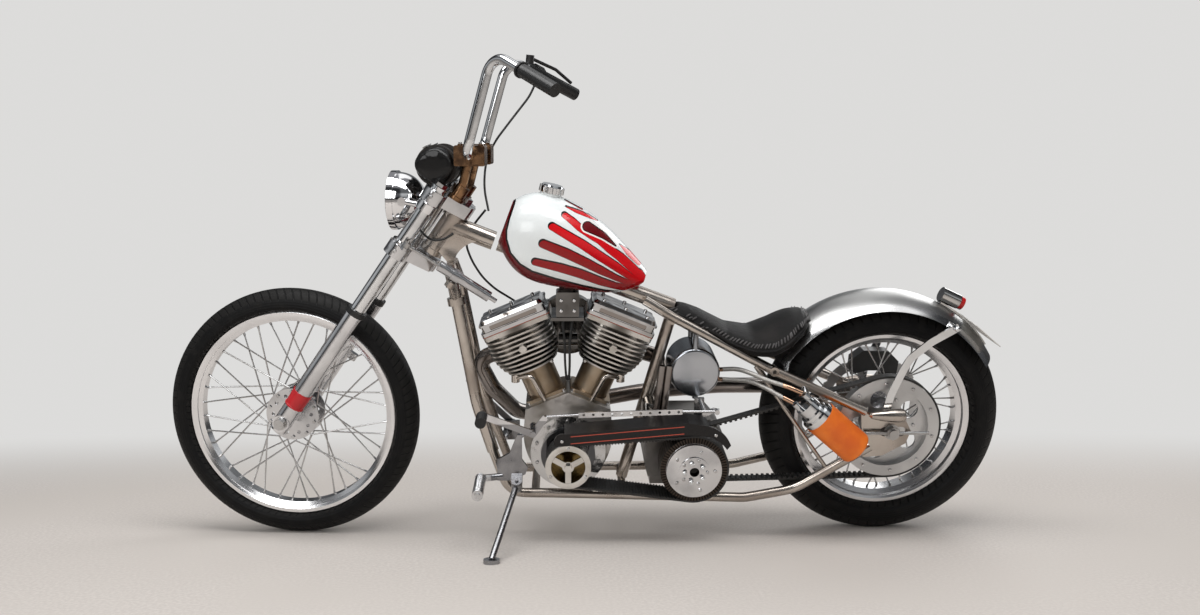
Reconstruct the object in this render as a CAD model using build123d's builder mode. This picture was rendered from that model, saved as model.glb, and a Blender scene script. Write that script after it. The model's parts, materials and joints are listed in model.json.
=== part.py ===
from build123d import *
from math import acos, atan2, cos, degrees, radians, sin, sqrt, tan
import os

# Hardtail chopper with a 45 degree V-twin, parked on its side stand.
# Millimetres. The machine is drawn upright: x runs forward from the rear axle, y to its left,
# z up from the line that both tyres stand on. Each piece is then turned to its parked place.

# Stance
WHEELBASE = 1590.0
LEAN = 13.0
STEER_REST = 6.5
RAKE = 34.5
FORK_OFFSET = 60.0
# The turned front wheel stands a little higher than the straight one
STEER_LIFT = 2.45

# Front wheel, 21 inch
FRONT_TYRE_R = 339.0
FRONT_CROWN_R = 44.0
FRONT_BEAD_R = 266.7
FRONT_FLANGE_R = 280.5
FRONT_RIM_HALF = 28.5
FRONT_HUB_FLANGE_R = 71.0
FRONT_HUB_HALF = 30.0

# Rear wheel, 18 inch
REAR_TYRE_R = 327.5
REAR_CROWN_R = 70.0
REAR_BEAD_R = 228.6
REAR_FLANGE_R = 242.5
REAR_RIM_HALF = 44.0
REAR_HUB_FLANGE_R = 62.0
REAR_HUB_HALF = 38.0
SPOKES = 40
SPOKE_D = 4.0
RIM_WALL = 3.0
TYRE_WALL = 9.0
RUNNING_GAP = 0.4
SEAT_GAP = 0.3

# Fork
FORK_SPREAD = 95.0
FORK_TUBE_D = 39.0
SLIDER_D = 49.0
LOWER_TREE_T = 556.0
UPPER_TREE_T = 722.0
TREE_THICK = 34.0
HEAD_TUBE_D = 54.0
STEM_D = 25.4

# Frame
DOWNTUBE_D = 32.0
RAIL_D = 25.4
BACKBONE_D = 44.0
PLATE_Y = 130.0
PLATE_THICK = 8.0

# Engine
CRANK_X = 852.0
CRANK_Z = 259.0
V_HALF = 22.5
BARREL_R = 49.0
DECK = 150.0
FIN_START = 241.0
FIN_PITCH = 12.6
FIN_COUNT = 9
GASKET = 365.0
ROCKER_TOP = 408.0

# Primary and final drive
BELT_WIDE = 76.0
PRIMARY_Y = 114.0
PULLEY_R = 58.0
CLUTCH_X = 527.0
CLUTCH_Z = 248.0
CLUTCH_R = 87.0
BELT_THICK = 5.0
DRIVE_BELT_WIDE = 28.0
DRIVE_BELT_Y = 75.5
DRIVE_PULLEY_R = 137.0
GEARBOX_PULLEY_R = 67.0

# Tank, seat and fender
FENDER_R = 348.0
FENDER_X = 12.0
FENDER_Z = 337.0
FENDER_HALF = 92.0
FENDER_SKIRT_R = 308.0
SHEET = 3.0


def axle_height(tyre_r, crown_r):
    """Height of an axle whose leaning tyre just meets the floor line."""
    return tyre_r - crown_r + crown_r / cos(radians(LEAN))


FRONT_Z = axle_height(FRONT_TYRE_R, FRONT_CROWN_R) + STEER_LIFT
REAR_Z = axle_height(REAR_TYRE_R, REAR_CROWN_R)
AXIS_UP = Vector(-sin(radians(RAKE)), 0, cos(radians(RAKE)))
AXIS_FORWARD = Vector(cos(radians(RAKE)), 0, sin(radians(RAKE)))
FRONT_AXLE = Vector(WHEELBASE, 0, FRONT_Z)
AXIS_FOOT = FRONT_AXLE - AXIS_FORWARD * FORK_OFFSET
LEFT = Vector(0, 1, 0)


def head(t, forward=0.0, y=0.0):
    """Point t up the steering axis from the axle's level, set forward and to the left."""
    return AXIS_FOOT + AXIS_UP * t + AXIS_FORWARD * forward + LEFT * y


# Origin of the parked machine: under the middle of its box, on the floor
ORIGIN_X = -800.0
ORIGIN_Y = -168.5
PARK = Location((ORIGIN_X, ORIGIN_Y, 0)) * Location((0, 0, 0), (-LEAN, 0, 0))


def keep(piece, name, steered=False):
    """Turn a finished piece to its parked place, name it and write it."""
    part = piece.part
    if steered:
        part = part.rotate(Axis(AXIS_FOOT, AXIS_UP), -STEER_REST)
    piece.part = PARK * part
    piece.part.label = name
    export_step(piece.part, f"parts/{name}.step")


def tube(points, radii, diameter):
    """Round bar along straight runs joined by tangent bends."""
    with BuildPart() as piece:
        with BuildLine() as path:
            FilletPolyline(*points, radius=radii)
        with BuildSketch(Plane(origin=path.line @ 0, z_dir=path.line % 0)):
            Circle(diameter / 2)
        sweep(path=path.line)
    return piece.part


def rod(start, end, diameter, bore=0.0):
    """Straight round bar, or a tube where it has a bore."""
    start = Vector(*start)
    run = Vector(*end) - start
    with BuildPart() as piece:
        with BuildSketch(Plane(origin=start, z_dir=run)):
            Circle(diameter / 2)
            if bore:
                Circle(bore / 2, mode=Mode.SUBTRACT)
        extrude(amount=run.length)
    return piece.part


def cable(points, diameter):
    """Flexible line, with each bend as wide as the shorter of its two runs allows."""
    radii = []
    for before, at, after in zip(points, points[1:], points[2:]):
        run_in = Vector(*at) - Vector(*before)
        run_out = Vector(*after) - Vector(*at)
        half_turn = radians(run_in.get_angle(run_out)) / 2
        radii.append(0.45 * min(run_in.length, run_out.length) / tan(half_turn))
    return tube(points, radii, diameter)


def mirrored(part):
    """The same piece on the machine's other side."""
    return mirror(part, about=Plane.XZ)


def wheel_plane(x, z, y=0.0):
    """Plane square to an axle at y, facing left, with its middle on the axle."""
    return Plane(origin=(x, y, z), x_dir=(1, 0, 0), z_dir=(0, 1, 0))


def side(y):
    """Side view at y, drawn in x and z. What is extruded from it runs to the right."""
    return Plane(origin=(0, y, 0), x_dir=(1, 0, 0), z_dir=(0, -1, 0))


os.makedirs("parts", exist_ok=True)

# Wheels

def tyre(axle, tyre_r, crown_r, bead_r, flange_r, rim_half):
    """Tubeless section: beads in the rim, bulging walls and a round crown."""
    bead_y = rim_half - 4.5
    side_r = tyre_r - crown_r
    shoulder = crown_r * 0.5
    shoulder_y = sqrt(crown_r ** 2 - shoulder ** 2)
    inner = crown_r - TYRE_WALL
    with BuildPart() as piece:
        with BuildSketch(Plane(origin=axle, x_dir=(0, 1, 0), z_dir=(1, 0, 0))):
            with BuildLine():
                a = (bead_y, bead_r + SEAT_GAP)
                b = (bead_y, flange_r + 1)
                c = (crown_r, side_r)
                d = (shoulder_y, side_r + shoulder)
                Line(a, b)
                ThreePointArc(b, (crown_r * 0.86, (flange_r + side_r) / 2 - 2), c)
                ThreePointArc(c, (crown_r * 0.966, side_r + crown_r * 0.259), d)
                ThreePointArc(d, (0, tyre_r), (-d[0], d[1]))
                ThreePointArc((-d[0], d[1]), (-crown_r * 0.966, side_r + crown_r * 0.259), (-c[0], c[1]))
                ThreePointArc((-c[0], c[1]), (-crown_r * 0.86, (flange_r + side_r) / 2 - 2), (-b[0], b[1]))
                Line((-b[0], b[1]), (-a[0], a[1]))
                e = (bead_y - 7, bead_r + SEAT_GAP)
                f = (bead_y - 7, flange_r + 1)
                g = (inner, side_r + 4)
                Line((-a[0], a[1]), (-e[0], e[1]))
                Line((-e[0], e[1]), (-f[0], f[1]))
                Line((-f[0], f[1]), (-g[0], g[1]))
                ThreePointArc((-g[0], g[1]), (0, side_r + inner), g)
                Line(g, f)
                Line(f, e)
                Line(e, a)
            make_face()
        revolve(axis=Axis(axle, (0, 1, 0)))
    return piece


def rim(axle, bead_r, flange_r, rim_half, well_drop, well_half):
    """Drop-centre rim with rolled flanges and a stepped well."""
    edge = rim_half - 4
    outline = [
        (rim_half, flange_r - 3),
        (rim_half - 1.5, flange_r),
        (edge, flange_r - 1),
        (edge, bead_r),
        (well_half + 5, bead_r),
        (well_half, bead_r - well_drop),
    ]
    inside = [
        (well_half + 2, bead_r - well_drop - RIM_WALL),
        (well_half + 8, bead_r - RIM_WALL - 1),
        (edge + 1, bead_r - RIM_WALL - 1),
        (rim_half, bead_r + 2),
    ]
    with BuildPart() as piece:
        with BuildSketch(Plane(origin=axle, x_dir=(0, 1, 0), z_dir=(1, 0, 0))):
            with BuildLine():
                top = outline + [(-y, r) for y, r in reversed(outline)]
                under = [(-y, r) for y, r in reversed(inside)] + inside
                Polyline(*top, *under, close=True)
            make_face()
        revolve(axis=Axis(axle, (0, 1, 0)))
    return piece


def hub(axle, flange_r, half, barrel_r, bore_d, holes, boss_half, boss_r):
    """Turned hub with two drilled flanges."""
    with BuildPart() as piece:
        with BuildSketch(Plane(origin=axle, x_dir=(0, 1, 0), z_dir=(1, 0, 0))):
            with BuildLine():
                outline = [
                    (boss_half, bore_d / 2),
                    (boss_half, boss_r),
                    (boss_half - 6, boss_r),
                    (half, barrel_r * 0.8),
                    (half, flange_r),
                    (half - 5, flange_r),
                    (half - 7, barrel_r + 6),
                    (half - 14, barrel_r),
                ]
                Polyline(*outline, *[(-y, r) for y, r in reversed(outline)], close=True)
            make_face()
        revolve(axis=Axis(axle, (0, 1, 0)))
        with BuildSketch(wheel_plane(axle.X, axle.Z, -half - 1)):
            with PolarLocations((flange_r + barrel_r) / 2 + 3, holes):
                Circle(5)
        extrude(amount=2 * half + 2, mode=Mode.SUBTRACT)
    return piece


def spokes(axle, flange_r, half, bed_r, rim_y):
    """Crossed spokes laced from the edge of each hub flange to the rim's well."""
    hole_r = flange_r + SPOKE_D / 2 + SEAT_GAP
    reach = 46.0
    pieces = []
    for i in range(SPOKES):
        way = 1 if i % 2 == 0 else -1
        lead = 1 if (i // 2) % 2 == 0 else -1
        face = half - 2.5 + lead * (SPOKE_D / 2 + 0.2)
        rim_angle = radians(360 / SPOKES * (i + 0.5))
        hub_angle = rim_angle + radians(lead * reach)
        start = Vector(hole_r * cos(hub_angle), way * face, hole_r * sin(hub_angle))
        end = Vector(bed_r * cos(rim_angle), way * rim_y, bed_r * sin(rim_angle))
        run = (end - start).normalized()
        pieces.append(rod(axle + start, axle + end - run * 1.2, SPOKE_D))
    with BuildPart() as piece:
        for spoke in pieces:
            add(spoke)
    return piece


front_tyre = tyre(FRONT_AXLE, FRONT_TYRE_R, FRONT_CROWN_R, FRONT_BEAD_R, FRONT_FLANGE_R, FRONT_RIM_HALF)
keep(front_tyre, "front_tyre", steered=True)
front_rim = rim(FRONT_AXLE, FRONT_BEAD_R, FRONT_FLANGE_R, FRONT_RIM_HALF, 11, 12)
keep(front_rim, "front_rim", steered=True)
front_hub = hub(FRONT_AXLE, FRONT_HUB_FLANGE_R, FRONT_HUB_HALF, 26, 20 + 2 * RUNNING_GAP, 10, 52, 19)
keep(front_hub, "front_hub", steered=True)
FRONT_BED_R = FRONT_BEAD_R - 11 - RIM_WALL
front_spokes = spokes(FRONT_AXLE, FRONT_HUB_FLANGE_R, FRONT_HUB_HALF, FRONT_BED_R, 5)
keep(front_spokes, "front_spokes", steered=True)

REAR_AXLE = Vector(0, 0, REAR_Z)
rear_tyre = tyre(REAR_AXLE, REAR_TYRE_R, REAR_CROWN_R, REAR_BEAD_R, REAR_FLANGE_R, REAR_RIM_HALF)
keep(rear_tyre, "rear_tyre")
rear_rim = rim(REAR_AXLE, REAR_BEAD_R, REAR_FLANGE_R, REAR_RIM_HALF, 14, 18)
keep(rear_rim, "rear_rim")
rear_hub = hub(REAR_AXLE, REAR_HUB_FLANGE_R, REAR_HUB_HALF, 32, 25 + 2 * RUNNING_GAP, 10, 72, 40)
keep(rear_hub, "rear_hub")
REAR_BED_R = REAR_BEAD_R - 14 - RIM_WALL
rear_spokes = spokes(REAR_AXLE, REAR_HUB_FLANGE_R, REAR_HUB_HALF, REAR_BED_R, 8)
keep(rear_spokes, "rear_spokes")

with BuildPart() as rear_pulley:
    with BuildSketch(wheel_plane(0, REAR_Z, DRIVE_BELT_Y)):
        Circle(DRIVE_PULLEY_R)
        Circle(21, mode=Mode.SUBTRACT)
    extrude(amount=DRIVE_BELT_WIDE)
    with BuildSketch(wheel_plane(0, REAR_Z, DRIVE_BELT_Y + 8)):
        Circle(108)
        Circle(21, mode=Mode.SUBTRACT)
    extrude(amount=DRIVE_BELT_WIDE, mode=Mode.SUBTRACT)
    with BuildSketch(wheel_plane(0, REAR_Z, DRIVE_BELT_Y)):
        with PolarLocations(74, 5):
            Circle(24)
    extrude(amount=20, mode=Mode.SUBTRACT)
    with BuildSketch(wheel_plane(0, REAR_Z, 72 + SEAT_GAP)):
        Circle(42)
        Circle(21, mode=Mode.SUBTRACT)
    extrude(amount=DRIVE_BELT_Y - 72 - SEAT_GAP)
keep(rear_pulley, "rear_pulley")

with BuildPart() as rear_brake_disc:
    with BuildSketch(wheel_plane(0, REAR_Z, -84)):
        Circle(146)
        Circle(118, mode=Mode.SUBTRACT)
        with PolarLocations(150, 12):
            Circle(9, mode=Mode.SUBTRACT)
        with PolarLocations(80, 5):
            Rectangle(90, 16)
        Circle(46)
        Circle(21, mode=Mode.SUBTRACT)
    extrude(amount=5)
    with BuildSketch(wheel_plane(0, REAR_Z, -79)):
        Circle(42)
        Circle(21, mode=Mode.SUBTRACT)
    extrude(amount=79 - 72 - SEAT_GAP)
keep(rear_brake_disc, "rear_brake_disc")

# Frame

HEAD_LOW = LOWER_TREE_T + TREE_THICK / 2 + 6
HEAD_HIGH = UPPER_TREE_T - TREE_THICK / 2 - 4
BACKBONE_END = Vector(572, 0, 636.5)
spine_room = rod((1034, 0, 809.5), BACKBONE_END, BACKBONE_D + 2 * SEAT_GAP)
BACKBONE_START = head(668)
GUSSET = 40.0
with BuildPart() as backbone:
    add(rod(head(HEAD_LOW), head(HEAD_HIGH), HEAD_TUBE_D))
    add(rod(head(HEAD_LOW), head(HEAD_LOW + 14), HEAD_TUBE_D + 8))
    add(rod(head(HEAD_HIGH - 14), head(HEAD_HIGH), HEAD_TUBE_D + 8))
    add(rod(BACKBONE_START, (1046, 0, 814), BACKBONE_D + 6))
    add(rod((1034, 0, 809.5), BACKBONE_END, BACKBONE_D))
    with BuildSketch(side(GUSSET / 2)):
        with BuildLine():
            foot = (head(600).X, head(600).Z)
            top = (head(690).X, head(690).Z)
            Polyline(foot, (1166, 760), (1152, 756))
            ThreePointArc((1152, 756), (1116, 806), (1054, 812))
            Polyline((1054, 812), (1100, 850), top, foot)
        make_face()
    extrude(amount=GUSSET)
    with BuildSketch(Plane(origin=head(HEAD_LOW - 5), z_dir=AXIS_UP)):
        Circle(STEM_D / 2 + RUNNING_GAP)
    extrude(amount=HEAD_HIGH - HEAD_LOW + 10, mode=Mode.SUBTRACT)
keep(backbone, "backbone")

downtube = tube([(1160, 38, 752), (1146, 62, 700), (1092, 78, 390), (1052, 82, 262)], [80, 300], DOWNTUBE_D)

# The steering damper's hinge and rod eye, as they stand parked
DAMPER_T = 588.0
DAMPER_HINGE = head(DAMPER_T, -86, 112)
EYE_FORWARD = 57.5
EYE_OUT = 125.0
DAMPER_EYE = head(DAMPER_T, EYE_FORWARD, EYE_OUT)
DAMPER_RUN = (DAMPER_EYE - DAMPER_HINGE).normalized()
DAMPER_D = 28.0
DAMPER_ROD_D = 8.0
TRUNNION_D = 10.0
TUBE_AT = Vector(1140.4, 63.7, 668)
TUBE_RUN = Vector(54, -16, 310).normalized()
with BuildPart() as damper_clamp:
    hub_top = DAMPER_HINGE - AXIS_UP * (DAMPER_D / 2 + 4 + RUNNING_GAP)
    add(rod(hub_top, hub_top - AXIS_UP * 16, 24))
    add(rod(TUBE_AT - TUBE_RUN * 10, TUBE_AT + TUBE_RUN * 10, DOWNTUBE_D + 16))
    add(rod(TUBE_AT + LEFT * 10, hub_top - AXIS_UP * 9, 15))
    add(rod(TUBE_AT - TUBE_RUN * 40, TUBE_AT + TUBE_RUN * 40, DOWNTUBE_D + 2 * SEAT_GAP), mode=Mode.SUBTRACT)
    add(rod(DAMPER_HINGE, DAMPER_HINGE - AXIS_UP * 60, TRUNNION_D + 2 * RUNNING_GAP), mode=Mode.SUBTRACT)
    add(rod(hub_top, hub_top + AXIS_UP * 30, 60), mode=Mode.SUBTRACT)
with BuildPart() as front_downtubes:
    add(downtube)
    add(mirrored(downtube))
    add(damper_clamp.part)
keep(front_downtubes, "front_downtubes")

RAIL_Z = 142.0
LOWER_PATH = [
    (1051.8, 82, 261.2), (1010, 86, RAIL_Z), (900, 90, RAIL_Z), (378, 116, 137), (247, 124, 165),
    (120, PLATE_Y, 247), (54, PLATE_Y, 287),
]
LOWER_BENDS = [60, 400, 120, 180, 300]
UPPER_PATH = [(650, 35.2, 662), (586, 45, 624), (312, 100, 487), (70, PLATE_Y, 384)]
UPPER_BENDS = [300, 500]
lower_rail = tube(LOWER_PATH, LOWER_BENDS, RAIL_D)
lower_room = tube(LOWER_PATH, LOWER_BENDS, RAIL_D + 2 * SEAT_GAP)
upper_rail = tube(UPPER_PATH, UPPER_BENDS, RAIL_D)
upper_room = tube(UPPER_PATH, UPPER_BENDS, RAIL_D + 2 * SEAT_GAP)
both_rooms = [lower_room, mirrored(lower_room), upper_room, mirrored(upper_room)]

with BuildPart() as lower_rails:
    add(lower_rail)
    add(mirrored(lower_rail))
keep(lower_rails, "lower_rails")

# Ring bosses let into the upper rails, with a bored hole across the machine
RING_X = 313.0
RING_Z = 488.0
RING_Y = 100.0
RING_BORE = 10.5
RING_LONG = 30.0
RING_OUT_D = 25.0
BRACE_D = 11.0
ring_cut = rod((RING_X, RING_Y - 20, RING_Z), (RING_X, RING_Y + 20, RING_Z), RING_BORE)
with BuildPart() as brace_tube:
    add(rod((362, 106, 501), (165, 126, 224), BRACE_D))
    add(upper_room, mode=Mode.SUBTRACT)
    add(lower_room, mode=Mode.SUBTRACT)
brace = brace_tube.part.solids().sort_by(SortBy.VOLUME)[-1]
with BuildPart() as upper_rails:
    add(upper_rail)
    add(rod((RING_X, RING_Y - RING_LONG / 2, RING_Z), (RING_X, RING_Y + RING_LONG / 2, RING_Z), RING_OUT_D))
    add(ring_cut, mode=Mode.SUBTRACT)
    add(brace)
    mirror(about=Plane.XZ)
keep(upper_rails, "upper_rails")

POST_TOP = Vector(577, 0, 611)
POST_FOOT = Vector(704, 0, 153)
CROSS_X = [940, 704, 470]
with BuildPart() as seat_post:
    add(rod(POST_TOP, POST_FOOT, DOWNTUBE_D))
    for x in CROSS_X:
        reach = 90 + max(0, 900 - x) * 0.05 - 6
        add(rod((x, -reach, RAIL_Z - 1), (x, reach, RAIL_Z - 1), RAIL_D - 3))
    add(rod(POST_TOP - LEFT * 47, POST_TOP + LEFT * 47, RAIL_D))
    add(spine_room, mode=Mode.SUBTRACT)
    for room in both_rooms:
        add(room, mode=Mode.SUBTRACT)
keep(seat_post, "seat_post")

with BuildPart() as plate:
    with BuildSketch(side(PLATE_Y + PLATE_THICK / 2)):
        with BuildLine():
            Polyline((84, 388), (-36, 362), (-52, 330), (-40, 296), (20, 262), (72, 258), (84, 388))
        make_face()
        with Locations((-4, REAR_Z)):
            SlotOverall(70, 26, mode=Mode.SUBTRACT)
    extrude(amount=PLATE_THICK)
BULLET_Y = 148.5
BULLET_Z = 379.0
with BuildPart() as bullet:
    with BuildSketch(Plane(origin=(-28, BULLET_Y, BULLET_Z), x_dir=(1, 0, 0), z_dir=(0, -1, 0))):
        with BuildLine():
            Polyline((96, 0), (88, 8))
            ThreePointArc((88, 8), (46, 16), (4, 17.5))
            Polyline((4, 17.5), (0, 14), (0, 0), (96, 0))
        make_face()
    revolve(axis=Axis((-28, BULLET_Y, BULLET_Z), (1, 0, 0)))
with BuildPart() as axle_plates:
    for piece in (plate.part, bullet.part):
        add(piece)
        add(mirrored(piece))
    for room in both_rooms:
        add(room, mode=Mode.SUBTRACT)
keep(axle_plates, "axle_plates")

AXLE_D = 25.0
HUB_BOSS = 72.0
with BuildPart() as rear_axle:
    add(rod((0, -162, REAR_Z), (0, 162, REAR_Z), AXLE_D))
    for way in (1, -1):
        inner = way * (HUB_BOSS + RUNNING_GAP)
        plate_in = way * (PLATE_Y - PLATE_THICK / 2)
        plate_out = way * (PLATE_Y + PLATE_THICK / 2)
        add(rod((0, inner, REAR_Z), (0, plate_in, REAR_Z), 36))
        add(rod((0, plate_out, REAR_Z), (0, plate_out + way * 5, REAR_Z), 42))
        with BuildSketch(Plane(origin=(0, plate_out + way * 5, REAR_Z), z_dir=(0, way, 0))):
            RegularPolygon(18, 6)
        extrude(amount=14)
        add(rod((-96, way * 146, REAR_Z), (72, way * 146, REAR_Z), 9))
keep(rear_axle, "rear_axle")

# Engine

def bank(way, s=0.0):
    """Plane square to a cylinder's axis, s up from the crankshaft. way is 1 at the front."""
    lean = radians(V_HALF)
    up = Vector(way * sin(lean), 0, cos(lean))
    return Plane(origin=Vector(CRANK_X, 0, CRANK_Z) + up * s, x_dir=(cos(lean), 0, -way * sin(lean)), z_dir=up)


CASE_HALF = 78.0
with BuildPart() as crankcase:
    with BuildSketch(side(CASE_HALF)):
        with BuildLine():
            right = [(0, 161.5), (113, 114.7), (118, 60)]
            flank = [(CRANK_X + x, CRANK_Z + z) for x, z in right]
            sump = [(CRANK_X + 52, CRANK_Z - 89), (CRANK_X - 52, CRANK_Z - 89)]
            other = [(2 * CRANK_X - x, z) for x, z in flank]
            Polyline(*flank)
            ThreePointArc(flank[2], (CRANK_X + 96, CRANK_Z - 38), sump[0])
            Line(sump[0], sump[1])
            ThreePointArc(sump[1], (CRANK_X - 96, CRANK_Z - 38), other[2])
            Polyline(other[2], other[1], flank[0])
        make_face()
    extrude(amount=2 * CASE_HALF)
    with BuildSketch(side(CASE_HALF + 14)):
        with Locations((CRANK_X, CRANK_Z)):
            Circle(100)
    extrude(amount=14)
    with BuildSketch(side(CASE_HALF + 32)):
        with Locations((CRANK_X, CRANK_Z)):
            Circle(72)
    extrude(amount=20)
    with BuildSketch(side(PRIMARY_Y)):
        with Locations((CRANK_X, CRANK_Z)):
            Circle(20)
    extrude(amount=10)
    for way in (1, -1):
        with BuildSketch(bank(way, DECK - 30)):
            RectangleRounded(120, 116, 16)
        extrude(amount=30)
keep(crankcase, "crankcase")

# Fins from the lowest up: width and corner radius, the last for all above
FIN_SIZES = [(142, 70), (160, 70), (170, 66), (177, 60), (180, 52)]
with BuildPart() as cylinders:
    for way in (1, -1):
        with BuildSketch(bank(way, DECK)):
            Circle(BARREL_R)
        extrude(amount=GASKET - DECK)
        with BuildSketch(bank(way, DECK)):
            RectangleRounded(112, 108, 14)
        extrude(amount=9)
        with BuildSketch(bank(way, FIN_START + 4.4 * FIN_PITCH)):
            RectangleRounded(126, 108, 24)
        extrude(amount=GASKET - FIN_START - 4.4 * FIN_PITCH)
        for i in range(FIN_COUNT):
            wide, corner = FIN_SIZES[min(i, len(FIN_SIZES) - 1)]
            with BuildSketch(bank(way, FIN_START + i * FIN_PITCH)):
                with Locations((way * 3, 0)):
                    RectangleRounded(wide, 146, corner)
            extrude(amount=4.5)
        with BuildSketch(bank(way, GASKET - 12)):
            with Locations((-way * 4, 0)):
                RectangleRounded(188, 122, 12)
            with Locations((0, -70)):
                Rectangle(90, 40)
        extrude(amount=12)
        with BuildSketch(Plane(origin=bank(way, FIN_START + 66).origin + LEFT * 50, z_dir=(0, 1, 0))):
            RegularPolygon(11, 6)
        extrude(amount=38)
keep(cylinders, "cylinders")

# Rocker boxes from the head up: rise, height, length and width
BOX_STEPS = [(0.3, 11.7, 190, 122), (12, 17, 178, 113), (29, 5, 186, 120)]
RECESS_DEEP = 3.0
with BuildPart() as rocker_boxes:
    for way in (1, -1):
        for rise, tall, long, wide in BOX_STEPS:
            with BuildSketch(bank(way, GASKET + rise)):
                with Locations((-way * 4, 0)):
                    RectangleRounded(long, wide, 11)
            extrude(amount=tall)
        with BuildSketch(bank(way, GASKET + 34)):
            with Locations((-way * 4, 0)):
                RectangleRounded(176, 110, 14)
        extrude(amount=ROCKER_TOP - GASKET - 34, taper=30)
        for hand in (1, -1):
            middle = bank(way, GASKET + 20.5)
            face = Plane(origin=middle.origin + LEFT * hand * 56.5, x_dir=middle.x_dir, z_dir=LEFT * hand)
            with BuildSketch(face):
                with Locations((-way * 4, 0)):
                    RectangleRounded(132, 12, 3)
            extrude(amount=-RECESS_DEEP, mode=Mode.SUBTRACT)
keep(rocker_boxes, "rocker_boxes")

CAM_DEEP = 40.0
PUSHROD_Y = -85.0
with BuildPart() as cam_cover:
    with BuildSketch(side(-CASE_HALF - SEAT_GAP)):
        with BuildLine():
            Polyline(
                (CRANK_X + 84, CRANK_Z + 86), (CRANK_X + 88, CRANK_Z + 40), (CRANK_X + 54, CRANK_Z - 60),
                (CRANK_X - 44, CRANK_Z - 72), (CRANK_X - 96, CRANK_Z + 30), (CRANK_X - 96, CRANK_Z + 86),
                (CRANK_X + 84, CRANK_Z + 86),
            )
        make_face()
    extrude(amount=CAM_DEEP - 12)
    with BuildSketch(side(-CASE_HALF - SEAT_GAP)):
        with Locations((CRANK_X, CRANK_Z + 20)):
            Circle(56)
    extrude(amount=CAM_DEEP)
    for way in (1, -1):
        for shift in (-16, 20):
            low = Vector(CRANK_X + way * (36 + shift), PUSHROD_Y - 9, CRANK_Z + 84)
            top = bank(way, GASKET - 12).origin + Vector(way * shift, PUSHROD_Y, 0)
            add(rod(low, low + (top - low) * 0.12, 30))
            add(rod(low, low + (top - low).normalized() * ((top - low).length - 11), 20))
keep(cam_cover, "cam_cover")

CARB_Z = 548.0
with BuildPart() as carburettor:
    add(rod((CRANK_X - 25.6, -8, CARB_Z - 4), (CRANK_X + 25.6, -8, CARB_Z - 4), 36))
    add(rod((CRANK_X, -8, CARB_Z), (CRANK_X, -92, CARB_Z), 42))
    with BuildSketch(side(-92)):
        with Locations((CRANK_X, CARB_Z - 8)):
            RectangleRounded(72, 96, 12)
    extrude(amount=52)
    with BuildSketch(side(-144)):
        with Locations((CRANK_X, CARB_Z)):
            Circle(86)
    extrude(amount=44)
    fillet(carburettor.edges().filter_by(GeomType.CIRCLE).sort_by(Axis.Y)[0], 12)
keep(carburettor, "carburettor")

BLOCK_X = 853.5
with BuildPart() as engine_top_mount:
    with BuildSketch(side(62)):
        with Locations((BLOCK_X, 656)):
            RectangleRounded(60, 66, 5)
    extrude(amount=52)
    with BuildSketch(side(66)):
        with Locations((BLOCK_X, 618)):
            Rectangle(86, 9)
    extrude(amount=112)
    with BuildSketch(side(14)):
        with Locations((BLOCK_X, 694)):
            Rectangle(44, 50)
    extrude(amount=8)
    add(spine_room, mode=Mode.SUBTRACT)
keep(engine_top_mount, "engine_top_mount")

PIPE_D = 44.0
front_pipe = tube(
    [(1057, -26, 497.4), (1098, -30, 480), (1060, -46, 396), (988, -106, 296), (900, -152, 300),
     (640, -150, 348), (420, -150, 365), (216, -150, 365)],
    [34, 90, 90, 120, 400, 400],
    PIPE_D,
)
rear_pipe = tube(
    [(647, -42, 497.4), (608, -56, 482), (590, -122, 414), (490, -150, 366)],
    [30, 60],
    PIPE_D,
)
with BuildPart() as exhaust:
    add(front_pipe)
    add(rear_pipe)
keep(exhaust, "exhaust")

GEARBOX_HALF = 62.0
CAN_X = 622.0
CAN_Y = 54.0
CAN_R = 33.0
with BuildPart() as transmission:
    with BuildSketch(side(GEARBOX_HALF)):
        with BuildLine():
            Polyline((636, 176), (646, 216), (634, 318), (610, 338), (470, 338), (436, 300), (430, 200),
                     (452, 176), (636, 176))
        make_face()
    extrude(amount=GEARBOX_HALF + 96)
    with BuildSketch(Plane.XY.offset(RAIL_Z - 1 + RAIL_D / 2 - 1.5 + SEAT_GAP)):
        with Locations((540, -10)):
            Rectangle(180, 130)
    extrude(amount=26)
    with BuildSketch(Plane.XY.offset(316)):
        with Locations((CAN_X, CAN_Y)):
            Circle(CAN_R)
    extrude(amount=76)
    with BuildSketch(side(PRIMARY_Y)):
        with Locations((CLUTCH_X, CLUTCH_Z)):
            Circle(22)
    extrude(amount=PRIMARY_Y - GEARBOX_HALF)
    with BuildSketch(side(DRIVE_BELT_Y + DRIVE_BELT_WIDE)):
        with Locations((CLUTCH_X, CLUTCH_Z)):
            Circle(GEARBOX_PULLEY_R)
    extrude(amount=DRIVE_BELT_WIDE)
keep(transmission, "transmission")

# Belts

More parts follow.
